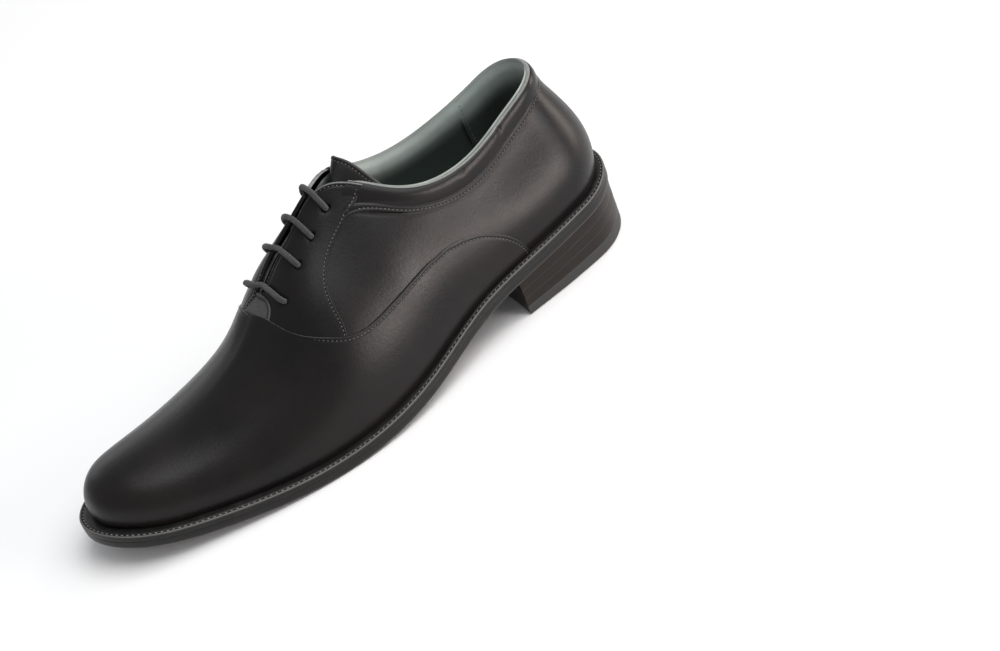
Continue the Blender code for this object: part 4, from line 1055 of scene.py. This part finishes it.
def lace(material):
    side, u, v, off = (np.array(a, float) for a in zip(*lace_route()))
    line, length = smooth_line(on_last(side, to_p(u), v, off), 760)
    for _ in range(6):
        line[1:-1] = (line[:-2] + 2 * line[1:-1] + line[2:]) / 4
    t = np.gradient(line, axis=0)
    t /= np.linalg.norm(t, axis=1, keepdims=True)
    across = np.cross(t[0], [0, 0, 1.0])
    frames = []
    for k in range(len(line)):
        across = across - t[k] * (across @ t[k])
        across /= np.linalg.norm(across)
        frames.append(across)
    across = np.array(frames)
    up = np.cross(t, across)
    a = np.linspace(0, 2 * math.pi, 21)
    along = np.arange(len(line))[:, None] * length / len(line)
    braid = .045 * np.sin(4 * a[None] + along / (.62 * MM)) * np.sin(4 * a[None] - along / (.62 * MM))
    r = (LACE * (.985 + braid))[..., None]
    spoke = across[:, None] * np.cos(a)[None, :, None] + up[:, None] * np.sin(a)[None, :, None]
    x = line[:, None] + spoke * r
    uv = np.stack([np.broadcast_to(a[None] / (2 * math.pi) * 8.8, x.shape[:2]),
                   np.broadcast_to(along / MM, x.shape[:2])], -1).reshape(-1, 2)
    faces = quads(len(line), 21)
    faces += [tuple(range(20))[::-1], tuple(range((len(line) - 1) * 21, (len(line) - 1) * 21 + 20))]
    obj = add_mesh("lace_braid", x.reshape(-1, 3), faces, material, merge=False, uv=uv)
    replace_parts(obj, "lace")


# ---------------------------------------------------------------- stage
# The camera fitted to the photograph's outlines: angles in degrees, lens in millimetres, the rest in metres.
CAMERA_ANGLES = (66.73, 34.38, -23.03)
CAMERA_LENS = 75.6
CAMERA_TARGET = (-.00088, 0, .04)
CAMERA_DISTANCE, CAMERA_RIGHT, CAMERA_UP = 1.00509, .07571, -.00655


def camera():
    azimuth, elevation, roll = (math.radians(a) for a in CAMERA_ANGLES)
    back = Vector((math.sin(azimuth) * math.cos(elevation), -math.cos(azimuth) * math.cos(elevation),
                   math.sin(elevation)))
    right = Vector((math.cos(azimuth), math.sin(azimuth), 0))
    up = back.cross(right)
    right, up = (right * math.cos(roll) + up * math.sin(roll), up * math.cos(roll) - right * math.sin(roll))
    data = bpy.data.cameras.new("camera")
    data.lens, data.sensor_width, data.clip_start = CAMERA_LENS, 36, .01
    obj = bpy.data.objects.new("camera", data)
    place = Vector(CAMERA_TARGET) + back * CAMERA_DISTANCE + right * CAMERA_RIGHT + up * CAMERA_UP
    turn = Matrix((right, up, back)).transposed().to_4x4()
    obj.matrix_world = Matrix.Translation(place) @ turn
    bpy.context.scene.collection.objects.link(obj)
    bpy.context.scene.camera = obj


def softbox(name, at, target, width, height_, power, colour=(1, 1, 1)):
    data = bpy.data.lights.new(name, "AREA")
    data.shape = "RECTANGLE"
    data.size, data.size_y, data.energy, data.color = width, height_, power, colour
    obj = bpy.data.objects.new(name, data)
    obj.location = at
    obj.rotation_euler = (Vector(at) - Vector(target)).to_track_quat("Z", "Y").to_euler()
    bpy.context.scene.collection.objects.link(obj)


def stage():
    mesh = bpy.data.meshes.new("floor")
    mesh.from_pydata([(-9, -9, 0), (9, -9, 0), (9, 9, 0), (-9, 9, 0)], [], [(0, 1, 2, 3)])
    n = Nodes("floor_white")
    mesh.materials.append(n.set(Base_Color=(.93, .93, .93), Roughness=.6, Specular_IOR_Level=.2))
    floor = bpy.data.objects.new("floor", mesh)
    floor.location.z = -.0002
    bpy.context.scene.collection.objects.link(floor)
    world = bpy.data.worlds.new("studio")
    world.use_nodes = True
    world.node_tree.nodes["Background"].inputs[0].default_value = (.95, .97, 1, 1)
    world.node_tree.nodes["Background"].inputs[1].default_value = .43
    bpy.context.scene.world = world
    bpy.context.scene.view_settings.view_transform = "Standard"
    softbox("overhead", (.6, .8, 2.1), (0, 0, 0), 2.2, 2.2, 50)
    softbox("behind", (-1.9, -.2, .7), (0, 0, .05), 1.2, .8, 3)
    softbox("quarter_side", (1.75, 1.1, .42), (0, .05, .05), 1.1, .8, 12, (.98, .97, 1))
    softbox("waist", (1.25, .66, .26), (0, .03, .03), .2, .5, 4, (1, .82, .7))
    softbox("heel_side", (.55, 1.9, .35), (0, .1, .05), .5, 1.0, 14, (1, .88, .78))


def build():
    camera()
    dress_cad_nodes()
    lace(lace_cotton("waxed_cotton"))
    black = calf("black_calf_polished")
    thread_ = thread("black_thread")
    vamp(black, thread_)
    for side, word in ((1, "lateral"), (-1, "medial")):
        quarter(side, word, black)
        facing(side, word, black, thread_)
    collar(black, thread_, plain("open_foam", (.70, .65, .46), (.80, .75, .56), .95, 1400, height=.8))
    tongue(calf("tongue_calf", gloss=.42, grain=.4), thread_)
    throat_tab(black)
    lining_pieces(lining_leather("green_grey_lining"), thread("lining_thread", (.06, .07, .066)))
    heel_sock(lining_leather("sock_leather"))
    edge = stained_edge("waxed_sole_edge")
    sole(edge, stained_edge("black_sole_leather", gloss=.5), thread("welt_thread", (.13, .126, .12), .6))
    heel(stained_edge("waxed_heel_edge", (.0085, .0052, .0038), (.019, .0125, .0088), .4),
         plain("heel_rubber_black", (.014, .014, .014), (.024, .023, .022), .6, 1300))
    stage()


build()
